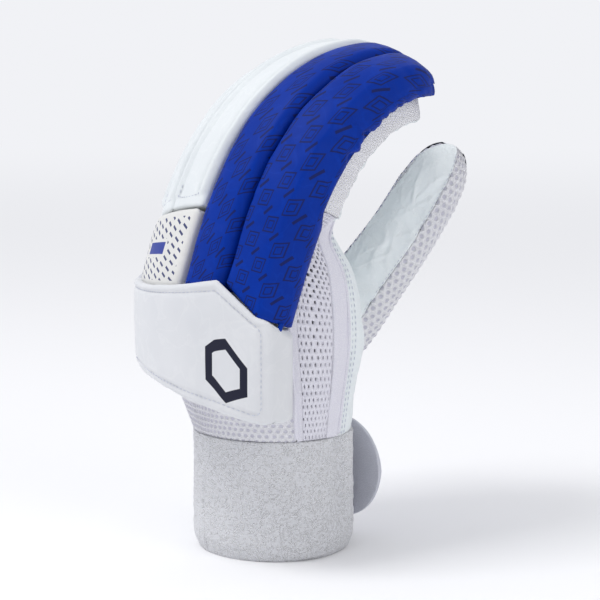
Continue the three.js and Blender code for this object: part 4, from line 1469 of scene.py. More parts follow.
@dataclass
class Pad:
    """A stuffed body with a crowned face, rounded edges and upright sides."""

    name: str
    finish: Finish
    reach: Edges = field(default_factory=lambda: Edges(4.5, 4.5, 3.5, 11.0))
    fall: Edges = field(default_factory=lambda: Edges(4.5, 4.5, 3.0, 8.0))
    crown: float = 0.8
    bulge: Edges = field(default_factory=lambda: Edges(0.0, 0.0, 0.0, 0.0))
    ridge: float = 2.0
    step: float = 0.9
    fill: float = 0.8

    def size(self) -> tuple[float, float]:
        """Width and height of the face."""
        raise NotImplementedError

    def at(self, u: Array, v: Array, depth: Array) -> Array:
        """Point at shares across and up and a depth under the face."""
        raise NotImplementedError

    def bottom(self, u: Array, v: Array) -> Array:
        """Depth of the underside."""
        return np.full(np.broadcast(u, v).shape, PAD_THICKNESS)

    def relief(self, across: Array, up: Array, side: Array) -> Array:
        """Height added to the surface, from millimetres across and up and the depth share of the sides."""
        return 0.25 * clouds(across, up, 14, 11) * (1 - side)

    def rows(self) -> Array:
        """Shares of the height, closer together at the rounded ends."""
        height = self.size()[1]
        low, top = self.reach.low, self.reach.top
        foot = low * (1 - np.cos(quarter(8)))[:-1]
        middle = np.linspace(low, height - top, int((height - low - top) / self.step) + 2)
        head = height - top + top * np.sin(quarter(9))[1:]
        return np.concatenate([foot, middle, head]) / height

    def loop(self) -> tuple[Array, Array]:
        """Shares across and depth shares once round a section."""
        width = self.size()[0]
        left, right = self.reach.left, self.reach.right
        first = left * (1 - np.cos(quarter(8)))[:-1]
        middle = np.linspace(left, width - right, int((width - left - right) / self.step) + 2)
        last = width - right + right * np.sin(quarter(8))[1:]
        top = np.concatenate([first, middle, last]) / width
        sides = np.linspace(0, 1, 9)[1:-1]
        under = np.linspace(1, 0, 24)
        across = np.concatenate([top, np.ones(len(sides)), under, np.zeros(len(sides))])
        depth = np.concatenate([np.zeros(len(top)), sides, np.ones(len(under)), sides[::-1]])
        return across, depth

    def form(self) -> Grid:
        """The whole pad: a row for each section, and the print's coordinates over its face."""
        width, height = self.size()
        across, depth = self.loop()
        u, v = np.meshgrid(across, self.rows())
        w = np.tile(depth, (len(v), 1))
        near = {
            "left": np.clip(1 - u * width / self.reach.left, 0, 1),
            "right": np.clip(1 - (1 - u) * width / self.reach.right, 0, 1),
            "low": np.clip(1 - v * height / self.reach.low, 0, 1),
            "top": np.clip(1 - (1 - v) * height / self.reach.top, 0, 1),
        }
        side = np.maximum(near["left"], near["right"])
        end = np.maximum(near["low"], near["top"])
        far = np.hypot(side, end)
        pull = np.where(far > 1, 1 - 1 / np.maximum(far, 1), 0)
        sideways = near["left"] * self.reach.left - near["right"] * self.reach.right
        upwards = near["low"] * self.reach.low - near["top"] * self.reach.top
        u = u + pull * sideways / width
        v = v + pull * upwards / height
        drop_side = np.where(near["left"] > near["right"], self.fall.left, self.fall.right)
        drop_end = np.where(near["low"] > near["top"], self.fall.low, self.fall.top)
        share = side**2 / np.maximum(side**2 + end**2, 1e-9)
        round_by = blend(2.0, self.ridge, share)
        rim = 1 - np.maximum(1 - np.minimum(far, 1) ** round_by, 0) ** (1 / round_by)
        drop = rim * blend(drop_end, drop_side, share)
        drop += self.crown * (1 - np.clip(1 - (2 * u - 1) ** 2, 0, 1) * np.clip(1 - (2 * v - 1) ** 4, 0, 1))
        swell = np.sin(math.pi * np.clip(w, 0, 1)) ** 0.8
        u = u + swell * np.where(u > 0.5, self.bulge.right, -self.bulge.left) * (w > 0) * (w < 1) / width
        deep = self.bottom(u, v)
        deep = drop + (deep - drop) * self.seat_share(self.at(u, v, drop), self.at(u, v, deep))
        points = self.finished(u, v, w, drop + (deep - drop) * w)
        ends = [blend(points[row].mean(axis=0), points[row], inset)
                for row in (0, -1) for inset in CAP_INSETS]
        count = len(CAP_INSETS)
        points = np.concatenate([ends[:count], points, ends[count:][::-1]])
        beyond = (1 - np.array(CAP_INSETS)) * PAD_THICKNESS / 2
        up = np.concatenate([-beyond, self.rows() * height, (height + beyond)[::-1]])
        onward = np.concatenate([across * width, [0.0]])
        turned = depth * PAD_THICKNESS
        under = (depth >= 1) | (np.arange(len(across)) > np.argmax(depth >= 1))
        whole = 2 * (width + PAD_THICKNESS)
        onward[:-1] = np.where(under, whole - across * width - turned, onward[:-1] + turned)
        onward[-1] = whole
        chart = np.stack(np.meshgrid(onward, up), -1)
        return Grid(points, wrap_columns=True, cap_ends=True, chart=chart)

    def finished(self, u: Array, v: Array, w: Array, depth: Array) -> Array:
        """Places the points and adds the relief."""
        width, height = self.size()
        grid = Grid(self.at(u, v, depth), wrap_columns=True)
        added = self.relief(u * width, v * height, w) * (w < 1)
        return grid.raised(added, grid.points.reshape(-1, 3).mean(axis=0)).points

    def seat_share(self, outer: Array, under: Array) -> Array:
        """Share of the way from the face to the underside that is clear of what the pad is sewn to."""
        return body_of(HAND).reach(outer, under, GAP)

    def build(self) -> bpy.types.Object:
        """Makes and dresses the pad."""
        piece = grid_object(self.name, self.form())
        dress(piece, self.finish, self.name)
        return piece


class Place(Enum):
    """Where a roll starts."""

    SIDE = "side"
    FINGER = "finger"
    BADGE = "badge"


ROLL_EDGES = (-70.0, -50.5, -31.5, -12.0, 8.5, 26.0, 47.0)


@dataclass(frozen=True)
class Ends:
    """Lower ends of the rolls and the upper edge of the badge."""

    along: float = -1.0
    rise: float = 8.5
    middle_angle: float = ROLL_EDGES[3]
    span_angle: float = 40.0
    badge_top: float = 32.0
    badge_slope: float = 7.0
    badge_from: float = ROLL_EDGES[2]
    badge_to: float = ROLL_EDGES[4]
    groove: float = 0.5
    side_inner_rise: float = 3.0
    side_outer_end: float = -7.0

    def lower(self, angle: Array) -> Array:
        """Lower end at an angle round the back."""
        return self.along + self.rise * ((angle - self.middle_angle) / self.span_angle) ** 2

    def badge(self, angle: Array) -> Array:
        """Upper edge of the badge at an angle round the back."""
        across = (angle - self.badge_from) / (self.badge_to - self.badge_from)
        return self.badge_top + self.badge_slope * (across - 0.5)


ENDS = Ends()


@dataclass
class Roll(Pad):
    """A padded roll along the back of a finger or along a side."""

    start_angle: float = 0.0
    stop_angle: float = 0.0
    place: Place = Place.FINGER
    seat: float = 4.0
    tip_spread: float = 2.5
    flank_growth: float = 1.0
    flank_lift: float = 3.5
    seed: int = 1

    def outward(self) -> float:
        """Side of the glove that the roll is on: -1 at the thumb, 1 at the little finger."""
        return -1.0 if self.start_angle < 0 and self.stop_angle < 0 else 1.0

    def size(self) -> tuple[float, float]:
        """Width and height of the face."""
        width = math.radians(self.stop_angle - self.start_angle) * (ARCH.back_radius + ARCH.side_radius) / 2
        left = ARCH.point(np.linspace(0, ARCH.length, 40), (self.start_angle + self.stop_angle) / 2, 0)
        lower = float(np.mean(self.lower(np.array([0.0, 1.0]))))
        return width, run_length(left) * (1 - lower / ARCH.length)

    def lower(self, u: Array) -> Array:
        """Lower end at a share across, as a length along the arch."""
        angle = blend(self.start_angle, self.stop_angle, u)
        if self.place is Place.SIDE:
            inner = self.stop_angle if self.outward() < 0 else self.start_angle
            away = 1 - u if self.outward() < 0 else u
            lift = self.flank_lift * ease(away, 0.72, 1.0)
            return blend(ENDS.lower(inner) + ENDS.side_inner_rise, ENDS.side_outer_end, away) + lift
        return ENDS.badge(angle) + ENDS.groove if self.place is Place.BADGE else ENDS.lower(angle)

    def at(self, u: Array, v: Array, depth: Array) -> Array:
        """Point at shares across and up and a depth under the face."""
        along = blend(self.lower(np.clip(u, 0, 1)), ARCH.length, v)
        share = np.clip(along / ARCH.length, 0, 1)
        gap = np.degrees(ENDS.groove / 2 / blend(ARCH.side_radius, ARCH.tip_side_radius, share))
        spread = self.tip_spread * share**2 * self.outward() if self.place is Place.SIDE else 0.0
        low = self.start_angle + gap + (spread if self.outward() < 0 else 0)
        high = self.stop_angle - gap + (spread if self.outward() > 0 else 0)
        return ARCH.point(along, blend(low, high, u), depth)

    def bottom(self, u: Array, v: Array) -> Array:
        """Depth of the underside: deeper where the roll sits on the hand."""
        along = blend(self.lower(np.clip(u, 0, 1)), ARCH.length, v)
        away = np.clip(1 - u if self.outward() < 0 else u, 0, 1)
        share = np.clip(along / ARCH.length, 0, 1)
        growth = self.flank_growth * share * away if self.place is Place.SIDE else 0
        return PAD_THICKNESS + growth + self.seat * (1 - ease(along, STALLS[0].start - 8, STALLS[0].start))

    def seat_share(self, outer: Array, under: Array) -> Array:
        """Share of the way to the underside that is clear of the hand and the stalls."""
        shares = super().seat_share(outer, under)
        for stall in STALLS:
            if stall.start_angle < self.stop_angle and stall.stop_angle > self.start_angle:
                shares = np.minimum(shares, body_of(stall).reach(outer, under, GAP))
        return shares

    def relief(self, across: Array, up: Array, side: Array) -> Array:
        """Uneven stuffing, with a welt along both edges of a white roll."""
        width, height = self.size()
        uneven = 0.3 * clouds(across, up, 16, self.seed) * (1 - side)
        if self.place is not Place.BADGE:
            return uneven
        edge = np.minimum(across, width - across)
        fade = ease(up, 5.0, 9.0) * (1 - ease(up, height - 16, height - 5))
        welt = 1.5 * hump(edge, 2.8, 1.5) - 1.1 * hump(edge, 5.6, 0.9)
        return uneven + welt * fade * (side <= 0)


@dataclass
class GatheredRoll(Roll):
    """The outer roll on the little finger's side, whose cover is gathered towards the tip."""

    gathers_from: float = 92.0
    gather_pitch: float = 5.4
    notches: tuple[float, ...] = (96.0, 109.0)

    def relief(self, across: Array, up: Array, side: Array) -> Array:
        """Uneven stuffing, gathers on the flank and two buckled notches."""
        width = self.size()[0]
        uneven = 0.35 * clouds(across, up, 16, self.seed) * (1 - side)
        away = width - across
        flank = (1 - ease(away, 4.0, 9.0)) * (0.35 + 0.65 * side)
        wander = 2.2 * noise(across, up, 9, self.seed + 3)
        pleat = np.abs(np.sin(math.pi * (up + wander) / self.gather_pitch)) ** 0.6 - 0.6
        gathers = 1.3 * pleat * ease(up, self.gathers_from, self.gathers_from + 20)
        dents = sum(hump(up + 0.25 * away, place, 2.6) for place in self.notches)
        lips = sum(hump(up + 0.25 * away, place + 5.0, 2.4) for place in self.notches)
        return uneven + (gathers + 1.1 * lips - 2.4 * dents) * flank


def finger_rolls() -> list[Roll]:
    """The six rolls from the thumb side to the little finger's side."""
    flat, flat_fall = Edges(2.2, 2.2, 2.0, 11.0), Edges(2.0, 2.0, 1.5, 8.0)
    white = {"finish": WHITE, "reach": flat, "fall": flat_fall, "place": Place.BADGE}
    blue = {"finish": BLUE, "ridge": 1.6}
    outer = {"finish": BLUE, "ridge": 1.25, "place": Place.SIDE}
    radial = {"reach": Edges(7.5, 4.0, 2.2, 11.0), "fall": Edges(7.5, 4.0, 1.6, 8.0),
              "bulge": Edges(1.5, 0, 0, 0), **outer}
    ulnar = {"reach": Edges(4.0, 7.5, 2.2, 11.0), "fall": Edges(4.0, 7.5, 1.6, 8.0),
             "bulge": Edges(0, 1.5, 0, 0), **outer}
    kinds = (
        (Roll, "radial_side_roll", radial),
        (Roll, "index_roll", blue),
        (Roll, "middle_roll", white),
        (Roll, "ring_roll", white),
        (Roll, "little_roll", blue),
        (GatheredRoll, "ulnar_side_roll", ulnar),
    )
    return [kind(name, start_angle=ROLL_EDGES[k], stop_angle=ROLL_EDGES[k + 1], seed=21 + k, **settings)
            for k, (kind, name, settings) in enumerate(kinds)]


@dataclass
class BadgePad(Pad):
    """Pale printed pad over the lower ends of the white rolls."""

    proud: float = 1.2
    inset: float = 0.3
    seat: float = 4.0

    def size(self) -> tuple[float, float]:
        """Width and height of the face."""
        turn = math.radians(ENDS.badge_to - ENDS.badge_from - 2 * self.inset)
        return turn * ARCH.back_radius, ENDS.badge_top - ENDS.along

    def at(self, u: Array, v: Array, depth: Array) -> Array:
        """Point at shares across and up and a depth under the face."""
        angle = blend(ENDS.badge_from + self.inset, ENDS.badge_to - self.inset, u)
        along = blend(ENDS.lower(angle), ENDS.badge(angle) - ENDS.groove, v)
        return ARCH.point(along, angle, depth - self.proud)

    def bottom(self, u: Array, v: Array) -> Array:
        """Depth of the underside."""
        return np.full(u.shape, PAD_THICKNESS + self.seat + self.proud)


@dataclass
class CuffPad(Pad):
    """White pad over the back of the hand, with a stitched face and soft rolled sides."""

    start_angle: float = -66.0
    stop_angle: float = 48.0
    top_gap: float = -0.5
    low_end: float = 66.0
    low_middle: float = 83.0
    middle_angle: float = -20.0
    low_power: float = 1.15
    height: float = 44.0
    seat: float = 4.0
    corner: float = 4.0
    seam: Edges = field(default_factory=lambda: Edges(3.4, 4.6, 3.6, 3.2))

    def size(self) -> tuple[float, float]:
        """Width and height of the face."""
        return math.radians(self.stop_angle - self.start_angle) * ARCH.back_radius, self.height

    def top(self, angle: Array, y: Array) -> Array:
        """Height of the upper edge at an angle round the back."""
        lean = math.radians(ARCH.lean_foot)
        along = self.above(angle) - self.top_gap
        rise = (ARCH.axis_forward - y) * math.tan(lean) + along / math.cos(lean)
        return BAND.height + ARCH.axis_rise + rise

    def above(self, angle: Array) -> Array:
        """Lowest end of what lies above the pad."""
        first, *_, last = finger_rolls()
        lowest = ENDS.lower(angle)
        for roll, outside in ((first, angle <= first.stop_angle), (last, angle >= last.start_angle)):
            share = (angle - roll.start_angle) / (roll.stop_angle - roll.start_angle)
            lowest = np.where(outside, np.minimum(lowest, roll.lower(share)), lowest)
        return lowest

    def at(self, u: Array, v: Array, depth: Array) -> Array:
        """Point at shares across and up and a depth under the face."""
        angle = blend(self.start_angle, self.stop_angle, u)
        turn = np.radians(angle)
        x = ARCH.side_radius * np.sin(turn) - depth * np.sin(turn * ARCH.fan)
        y = ARCH.axis_forward - ARCH.back_radius * np.cos(turn) + depth * np.cos(turn * ARCH.fan)
        away = np.abs(angle - self.middle_angle) / (self.stop_angle - self.middle_angle)
        bottom = blend(self.low_middle, self.low_end, away**self.low_power)
        return np.stack([x, y, blend(bottom, self.top(angle, y), v)], -1)

    def bottom(self, u: Array, v: Array) -> Array:
        """Depth of the underside."""
        return np.full(u.shape, PAD_THICKNESS + self.seat)

    def relief(self, across: Array, up: Array, side: Array) -> Array:
        """Pressed seam round the face, and a soft roll outside it."""
        width, height = self.size()
        sideways = np.minimum(across - self.seam.left, width - self.seam.right - across)
        edge = np.minimum(sideways, np.minimum(up - self.seam.low, height - self.seam.top - up))
        pressed = hump(edge, 0, 0.8) * (side <= 0)
        rolled = hump(np.maximum(edge, -self.seam.right), -3.2, 2.2) * (side <= 0)
        return 0.3 * clouds(across, up, 18, 31) * (1 - side) - 0.75 * pressed + 0.35 * rolled

    def seam_line(self) -> Array:
        """Points of the stitch line round the face."""
        width, height = self.size()
        corner = self.corner
        left, low = self.seam.left, self.seam.low
        right, top = width - self.seam.right, height - self.seam.top
        centres = ((left, low, 180), (right, low, 270), (right, top, 0), (left, top, 90))
        line = []
        for x, y, start in centres:
            middle = (x + (corner if x < width / 2 else -corner), y + (corner if y < height / 2 else -corner))
            for turn in np.radians(np.linspace(start, start + 90, 7)):
                line.append((middle[0] + corner * math.cos(turn), middle[1] + corner * math.sin(turn)))
        line.append(line[0])
        flat = np.array(line)
        dense = np.concatenate([np.linspace(a, b, 16, endpoint=False) for a, b in zip(flat[:-1], flat[1:])])
        return self.at(dense[:, 0] / width, dense[:, 1] / height, np.full(len(dense), 0.75))


@dataclass
class BackPads:
    """The rolls, the badge and the cuff pad, with their seams and the outer roll's sewn tab."""

    tab_shift: tuple[float, float, float] = (0.9, 0.3, 0.0)
    seam_inset: float = 4.9
    seam_foot: float = 7.0
    seam_top: float = 13.0
    seam_sag: float = 1.2

    def roll_seam(self, roll: Roll) -> Array:
        """Points of the stitch line round the foot of a white roll."""
        width, height = roll.size()
        left, right = self.seam_inset, width - self.seam_inset
        across = np.concatenate([np.full(8, left), np.linspace(left, right, 16), np.full(8, right)])
        foot = self.seam_foot - self.seam_sag * np.sin(np.linspace(0, math.pi, 16))
        rise = np.linspace(self.seam_foot, self.seam_top, 8)
        up = np.concatenate([rise[::-1], foot, rise])
        return roll.at(across / width, up / height, np.full(len(up), 0.5))

    def build(self) -> None:
        """Makes and dresses the pads and what is sewn on them."""
        rolls = finger_rolls()
        for roll in rolls:
            roll.build()
        corner = rolls[-1].at(np.full(5, 0.985), np.linspace(0.012, -0.035, 5), np.linspace(8.5, 7.5, 5))
        tube("side_roll_tab", corner + np.array(self.tab_shift), 1.1, PLAIN_BLUE)
        seams = [self.roll_seam(roll) for roll in rolls if roll.place is Place.BADGE]
        stitches("white_roll_stitches", seams, WHITE_THREAD, pitch=2.2, length=1.6, radius=0.22)
        BadgePad("badge_pad", BADGE_WHITE, Edges(2.4, 3.0, 3.5, 2.2), Edges(2.0, 2.6, 3.0, 1.6),
                 crown=1.0).build()
        cuff = CuffPad("cuff_pad", CUFF_WHITE, Edges(4.0, 7.0, 4.0, 2.4), Edges(3.2, 4.5, 3.2, 1.6),
                       crown=0.6, bulge=Edges(1.5, 2.0, 0, 0))
        cuff.build()
        stitches("cuff_seam_stitches", [cuff.seam_line()], WHITE_THREAD, pitch=2.4, length=1.8, radius=0.22)


# Shells of the thumb

@dataclass
class ThumbShell(Pad):
    """Hard-filled shell over a stretch of the thumb's outer side."""

    start: float = 0.2
    stop: float = 0.52
    half_angle: float = 76.0
    thickness: float = 11.0
    flank: float = -0.4
    square: float = 3.2
    end_square: float = 2.2
    gathers: float = 0.0
    face_width: float = 62.0

    def size(self) -> tuple[float, float]:
        """Width and height of the face."""
        return self.face_width, (self.stop - self.start) * THUMB.length()

    def at(self, u: Array, v: Array, depth: Array) -> Array:
        """Point at shares across and up and a depth under the face."""
        angle = blend(-self.half_angle, self.half_angle, u)
        share = blend(self.start, self.stop, v)
        half = THUMB.half(share)
        closing = THUMB.closing(share, self.end_square)
        out = (half + self.thickness - depth) * closing
        width = (half * THUMB.flat + self.flank) * closing
        outer = THUMB.point(share, angle, out, width, self.square)
        under = half * THUMB.closing(share, 2) + GAP
        inner = THUMB.point(share, angle, under, under * THUMB.flat, THUMB.square)
        deep = np.clip(depth / self.thickness, 0, 1)[..., None]
        return np.where(deep >= 0.999, inner, outer)

    def bottom(self, u: Array, v: Array) -> Array:
        """Depth of the underside."""
        return np.full(u.shape, self.thickness)

    def loop(self) -> tuple[Array, Array]:
        """Shares across and depth shares once round a section: the outside, then back along the inside."""
        outside = np.linspace(0, 1, 54)
        inside = np.linspace(1, 0, 26)
        across = np.concatenate([outside, inside])
        return across, np.concatenate([np.zeros(len(outside)), np.ones(len(inside))])

    def relief(self, across: Array, up: Array, side: Array) -> Array:
        """Uneven filling, with gathers at the tip's end."""
        height = self.size()[1]
        uneven = 0.4 * clouds(across, up, 13, 41)
        pleats = np.sin(2 * math.pi * across / 6.0 + noise(across, up, 7, 42))
        return uneven + self.gathers * pleats * ease(up, height - 14, height - 3)

    def seat_share(self, outer: Array, under: Array) -> Array:
        """The whole way: the shell's underside already follows the thumb."""
        return np.ones(outer.shape[:-1])


@dataclass
class ThumbStall:
    """The thumb's sleeve of leather and mesh, its two shells and its stitching."""

    thickness: float = 1.8
    step: float = 0.75
    cell_pitch: float = 4.2
    join: float = 0.52
    shell_gap: float = 0.003
    shell_seam: float = 79.0
    seam_inset: float = 3.0
    tails: int = 3
    tail_seed: int = 171

    def leather_depth(self, u: Array, v: Array) -> Array:
        """How deep the leather's creases and its folds near the root are pressed in."""
        folds = np.sin(v * 0.75 + 1.8 * noise(u, v, 9, 51)) * (1 - ease(v, 40, 62))
        return 0.5 + 0.5 * clouds(u, v, 11, 52) - wrinkles(u, v, 0.75, 53) + 0.5 * folds

    def mesh_depth(self, u: Array, v: Array) -> Array:
        """How deep the threads round the mesh's dimples are pressed in."""
        return 0.4 - 0.7 * dimples(u, v, self.cell_pitch, 1.7, 0.6)

    def sleeve(self, name: str, finish: Finish, start: float, stop: float) -> bpy.types.Object:
        """One part of the sleeve, left out inside the hand.

        Args:
            name: the part's name.
            finish: its finish.
            start: first angle round the thumb.
            stop: last angle round the thumb.

        Returns:
            The dressed piece.
        """
        margin = math.degrees(GAP / 2 / THUMB.tip_half)
        count = int(math.radians(stop - start) * THUMB.base_half / self.step)
        grid = Grid(THUMB.surface(np.linspace(start + margin, stop - margin, count), self.step))
        depth = body_of(HAND).depth(grid.points[:-1, :-1])
        u, v = np.moveaxis(grid.flat(), -1, 0)
        pressed = self.leather_depth(u, v) if finish is LEATHER else self.mesh_depth(u, v)
        inside = THUMB.centres(np.array([0.6]))[0]
        grid = grid.raised(-pressed * (1 - ease(v, v.max() - 8, v.max() - 2)), inside)
        grid.keep = depth < 1.0
        return dress(wall(clean(grid_object(name, grid, inside)), self.thickness), finish, name)

    def thread_tails(self) -> None:
        """Makes the loose white thread ends at the join of the shells."""
        half = float(THUMB.half(np.array(self.join)))
        root = THUMB.point(self.join, -58.0, half + 4.0, half * THUMB.flat, THUMB.square)
        random = np.random.default_rng(self.tail_seed)
        for number in range(self.tails):
            bend = random.uniform(-1, 1, (3, 3)) * (1.2, 1.2, 0.8)
            middle, end = root + (0.6, -0.8, 2.5) + bend[1], root + (1.5, -0.6, 5.0) + bend[2] * 1.6
            line = smooth_through(np.array([root + bend[0] * 0.3, middle, end]), np.linspace(0, 1, 14))
            tube(f"thread_tail_{number}", line, 0.4, WHITE_THREAD, 6)

    def build(self) -> None:
        """Makes and dresses the thumb."""
        first, last = THUMB.leather_from, THUMB.sewn_to
        self.sleeve("thumb_leather", LEATHER, first, last)
        self.sleeve("thumb_mesh", COARSE_MESH, last - 360, first)
        ThumbShell("thumb_tip_shell", NAVY, Edges(1, 1, 3.0, 13.0), Edges(0, 0, 3.0, 9.0), crown=0.0,
                   start=self.join + self.shell_gap, stop=0.985, gathers=0.5).build()
        ThumbShell("thumb_base_shell", PLAIN_BLUE, Edges(1, 1, 4.0, 3.0), Edges(0, 0, 3.0, 3.0), crown=0.0,
                   start=0.2, stop=self.join).build()
        lines = [THUMB.line(np.linspace(0.24, 0.9, 60), side * self.shell_seam, -0.1) for side in (-1, 1)]
        stitches("thumb_shell_stitches", lines, BLUE_THREAD, pitch=3.2, length=2.2)
        angles = (first + self.seam_inset, last - self.seam_inset)
        lines = [THUMB.line(np.linspace(0.3, 0.97, 60), angle, 0.2) for angle in angles]
        stitches("thumb_seam_stitches", lines, WHITE_THREAD, pitch=2.4, length=1.7, radius=0.2)
        self.thread_tails()


# Hand and fingers

def hand_middle() -> Array:
    """A point in the hollow of the hand."""
    return HAND.middle_ring(full_turn(24)).mean(axis=0)


@dataclass
class HandPanel:
    """One sewn panel of the hand."""

    name: str
    finish: Finish
    start: float
    stop: float
    thickness: float
    step: float
    pitch: float = 0.0
    seed: int = 61

    def sheet(self, start: float, stop: float) -> Grid:
        """The panel's outer surface between two angles."""
        margin = math.degrees(GAP / 2 / BAND.half_width)
        width = run_length(HAND.middle_ring(np.linspace(start, stop, 40)))
        angles = np.linspace(start + margin, stop - margin, max(int(width / self.step), 4))
        shares = np.linspace(0, 1, int(HAND.rise * 1.12 / self.step))
        return Grid(HAND.surface(shares, angles))

    def relief(self, u: Array, v: Array) -> Array:
        """Height of the cloth or leather over flat coordinates."""
        if self.pitch:
            slack = 0.5 * clouds(u, v, 22, self.seed)
            return slack - 0.45 * dimples(u, v, self.pitch, 0.42 * self.pitch, 0.7)
        long_folds = np.sin(u * 0.55 + 2.5 * noise(u, v, 26, self.seed + 5))
        slack = 0.7 * clouds(u, v, 20, self.seed) + 0.35 * long_folds
        return slack - wrinkles(u, v, 0.6, self.seed + 9)

    def sewn(self, name: str, grid: Grid, height: Array) -> bpy.types.Object:
        """One sheet of the panel, cut away inside the thumb.

        Args:
            name: the sheet's name.
            grid: its surface.
            height: relief over it.

        Returns:
            The dressed piece.
        """
        inside = hand_middle()
        depth = body_of(THUMB).depth(grid.points[:-1, :-1])
        grid = grid.raised(height, inside)
        grid.keep = depth < 1.0
        return dress(wall(clean(grid_object(name, grid, inside)), self.thickness), self.finish, self.name)

    def build(self) -> bpy.types.Object:
        """Makes and dresses the panel."""
        grid = self.sheet(self.start, self.stop)
        flat = grid.flat()
        rows = np.linspace(0, 1, len(grid.points))[:, None]
        fade = ease(rows, 0, 0.03) * (1 - ease(rows, 0.97, 1.0))
        return self.sewn(self.name, grid, self.relief(flat[..., 0], flat[..., 1]) * fade)


@dataclass
class PunchedGusset(HandPanel):
    """A side panel with a punched middle between two plain bands."""

    punched: tuple[float, float] = (81.0, 100.0)
    columns: int = 7
    rows: int = 42
    hole: tuple[float, float] = (0.5, 0.95)

    def cell(self, width: float, height: float) -> bpy.types.Object:
        """One punched cell round the origin, with its hole to one side."""
        sides = 3
        ring = []
        for k in range(sides * 4):
            side, part = divmod(k, sides)
            share = part / sides - 0.5
            corner = ((share, -0.5), (0.5, share), (-share, 0.5), (-0.5, -share))[side]
            ring.append((corner[0] * width, corner[1] * height))
        hole = []
        shift = width / 4
        for x, y in ring:
            turn = math.atan2(y / height, x / width)
            hole.append((shift + self.hole[0] * math.cos(turn), self.hole[1] * math.sin(turn)))
        points = [(x * MM, y * MM, 0.0) for x, y in ring + hole]
        count = len(ring)
        faces = [(k, (k + 1) % count, count + (k + 1) % count, count + k) for k in range(count)]
        mesh = bpy.data.meshes.new(self.name + "_cell")
        mesh.from_pydata(points, [], faces)
        return link(self.name + "_cell", mesh)

    def punched_sheet(self) -> bpy.types.Object:
        """The punched middle, bent onto the hand."""
        start, stop = self.punched
        width = run_length(HAND.middle_ring(np.linspace(start, stop, 20)))
        height = HAND.rise * 1.1
        cell = (width / self.columns, height / self.rows)
        values = {
            "Width": (width - cell[0]) * MM,
            "Height": (height - cell[1]) * MM,
            "Columns": float(self.columns),
            "Rows": float(self.rows),
            "Material": material(self.finish),
        }
        mesh = grown_by_tree(self.cell(*cell), perforation_tree(), values)
        count = len(mesh.vertices)
        flat = np.empty(count * 3, np.float32)
        mesh.vertices.foreach_get("co", flat)
        flat = flat.reshape(-1, 3)[:, :2] / MM
        flat = self._grown_holes(flat, width, height, cell)
        u = np.clip(flat[:, 0] / width + 0.5, 0, 1)
        v = np.clip(flat[:, 1] / height + 0.5, 0, 1)
        bent = self._bent(u, v)
        mesh.vertices.foreach_set("co", ((bent + ORIGIN) * MM).astype(np.float32).ravel())
        layer = mesh.uv_layers.new(name=SURFACE)
        corners = np.empty(len(mesh.loops), np.int32)
        mesh.loops.foreach_get("vertex_index", corners)
        layer.data.foreach_set("uv", (flat[corners] * MM).astype(np.float32).ravel())
        mesh.update()
        return link(self.name + "_punched", mesh)

    def _grown_holes(self, flat: Array, width: float, height: float, cell: tuple[float, float]) -> Array:
        """The flat points, with the holes larger towards the fingers."""
        row = np.floor((flat[:, 1] + height / 2) / cell[1])
        shift = np.where(row % 2 == 0, 1, -1) * cell[0] / 4
        column = np.floor((flat[:, 0] + width / 2) / cell[0])
        x = (column + 0.5) * cell[0] - width / 2 + shift
        y = (row + 0.5) * cell[1] - height / 2
        centre = np.stack([x, y], -1)
        away = flat - centre
        on_hole = np.hypot(away[:, 0] / self.hole[0], away[:, 1] / self.hole[1]) < 1.08
        grown = blend(0.85, 1.25, ease(flat[:, 1] / height, -0.1, 0.3))
        return np.where(on_hole[:, None], centre + away * grown[:, None], flat)

    def _bent(self, u: Array, v: Array) -> Array:
        """Points of the hand at scattered shares across the punched middle and up the hand."""
        rows, columns = 160, 32
        table = HAND.surface(np.linspace(0, 1, rows + 1), np.linspace(*self.punched, columns + 1))
        x, y = u * columns, v * rows
        i, j = np.minimum(y.astype(int), rows - 1), np.minimum(x.astype(int), columns - 1)
        fy, fx = (y - i)[:, None], (x - j)[:, None]
        low = blend(table[i, j], table[i, j + 1], fx)
        high = blend(table[i + 1, j], table[i + 1, j + 1], fx)
        return blend(low, high, fy)

    def build(self) -> bpy.types.Object:
        """Makes and dresses the punched middle and both bands."""
        piece = self.punched_sheet()
        face_outwards(piece, hand_middle())
        dress(wall(piece, self.thickness * 0.6), self.finish, self.name)
        bands = (("back", self.start, self.punched[0]), ("palm", self.punched[1], self.stop))
        for label, start, stop in bands:
            grid = self.sheet(start, stop)
            flat = grid.flat()
            ribs = 0.28 * np.abs(np.sin(math.pi * flat[..., 0] / 1.9))
            height = ribs + 0.3 * clouds(flat[..., 0], flat[..., 1], 14, self.seed)
            self.sewn(f"{self.name}_{label}_band", grid, height)
        return piece


def face_outwards(piece: bpy.types.Object, inside: Array) -> None:
    """Turns an open sheet's faces away from a point inside the glove."""
    mesh = piece.data
    centre = Vector(((inside + ORIGIN) * MM).tolist())
    facing = sum(p.normal.dot(p.center - centre) for p in mesh.polygons)
    if facing < 0:
        mesh.flip_normals()
    mesh.polygons.foreach_set("use_smooth", np.ones(len(mesh.polygons), bool))


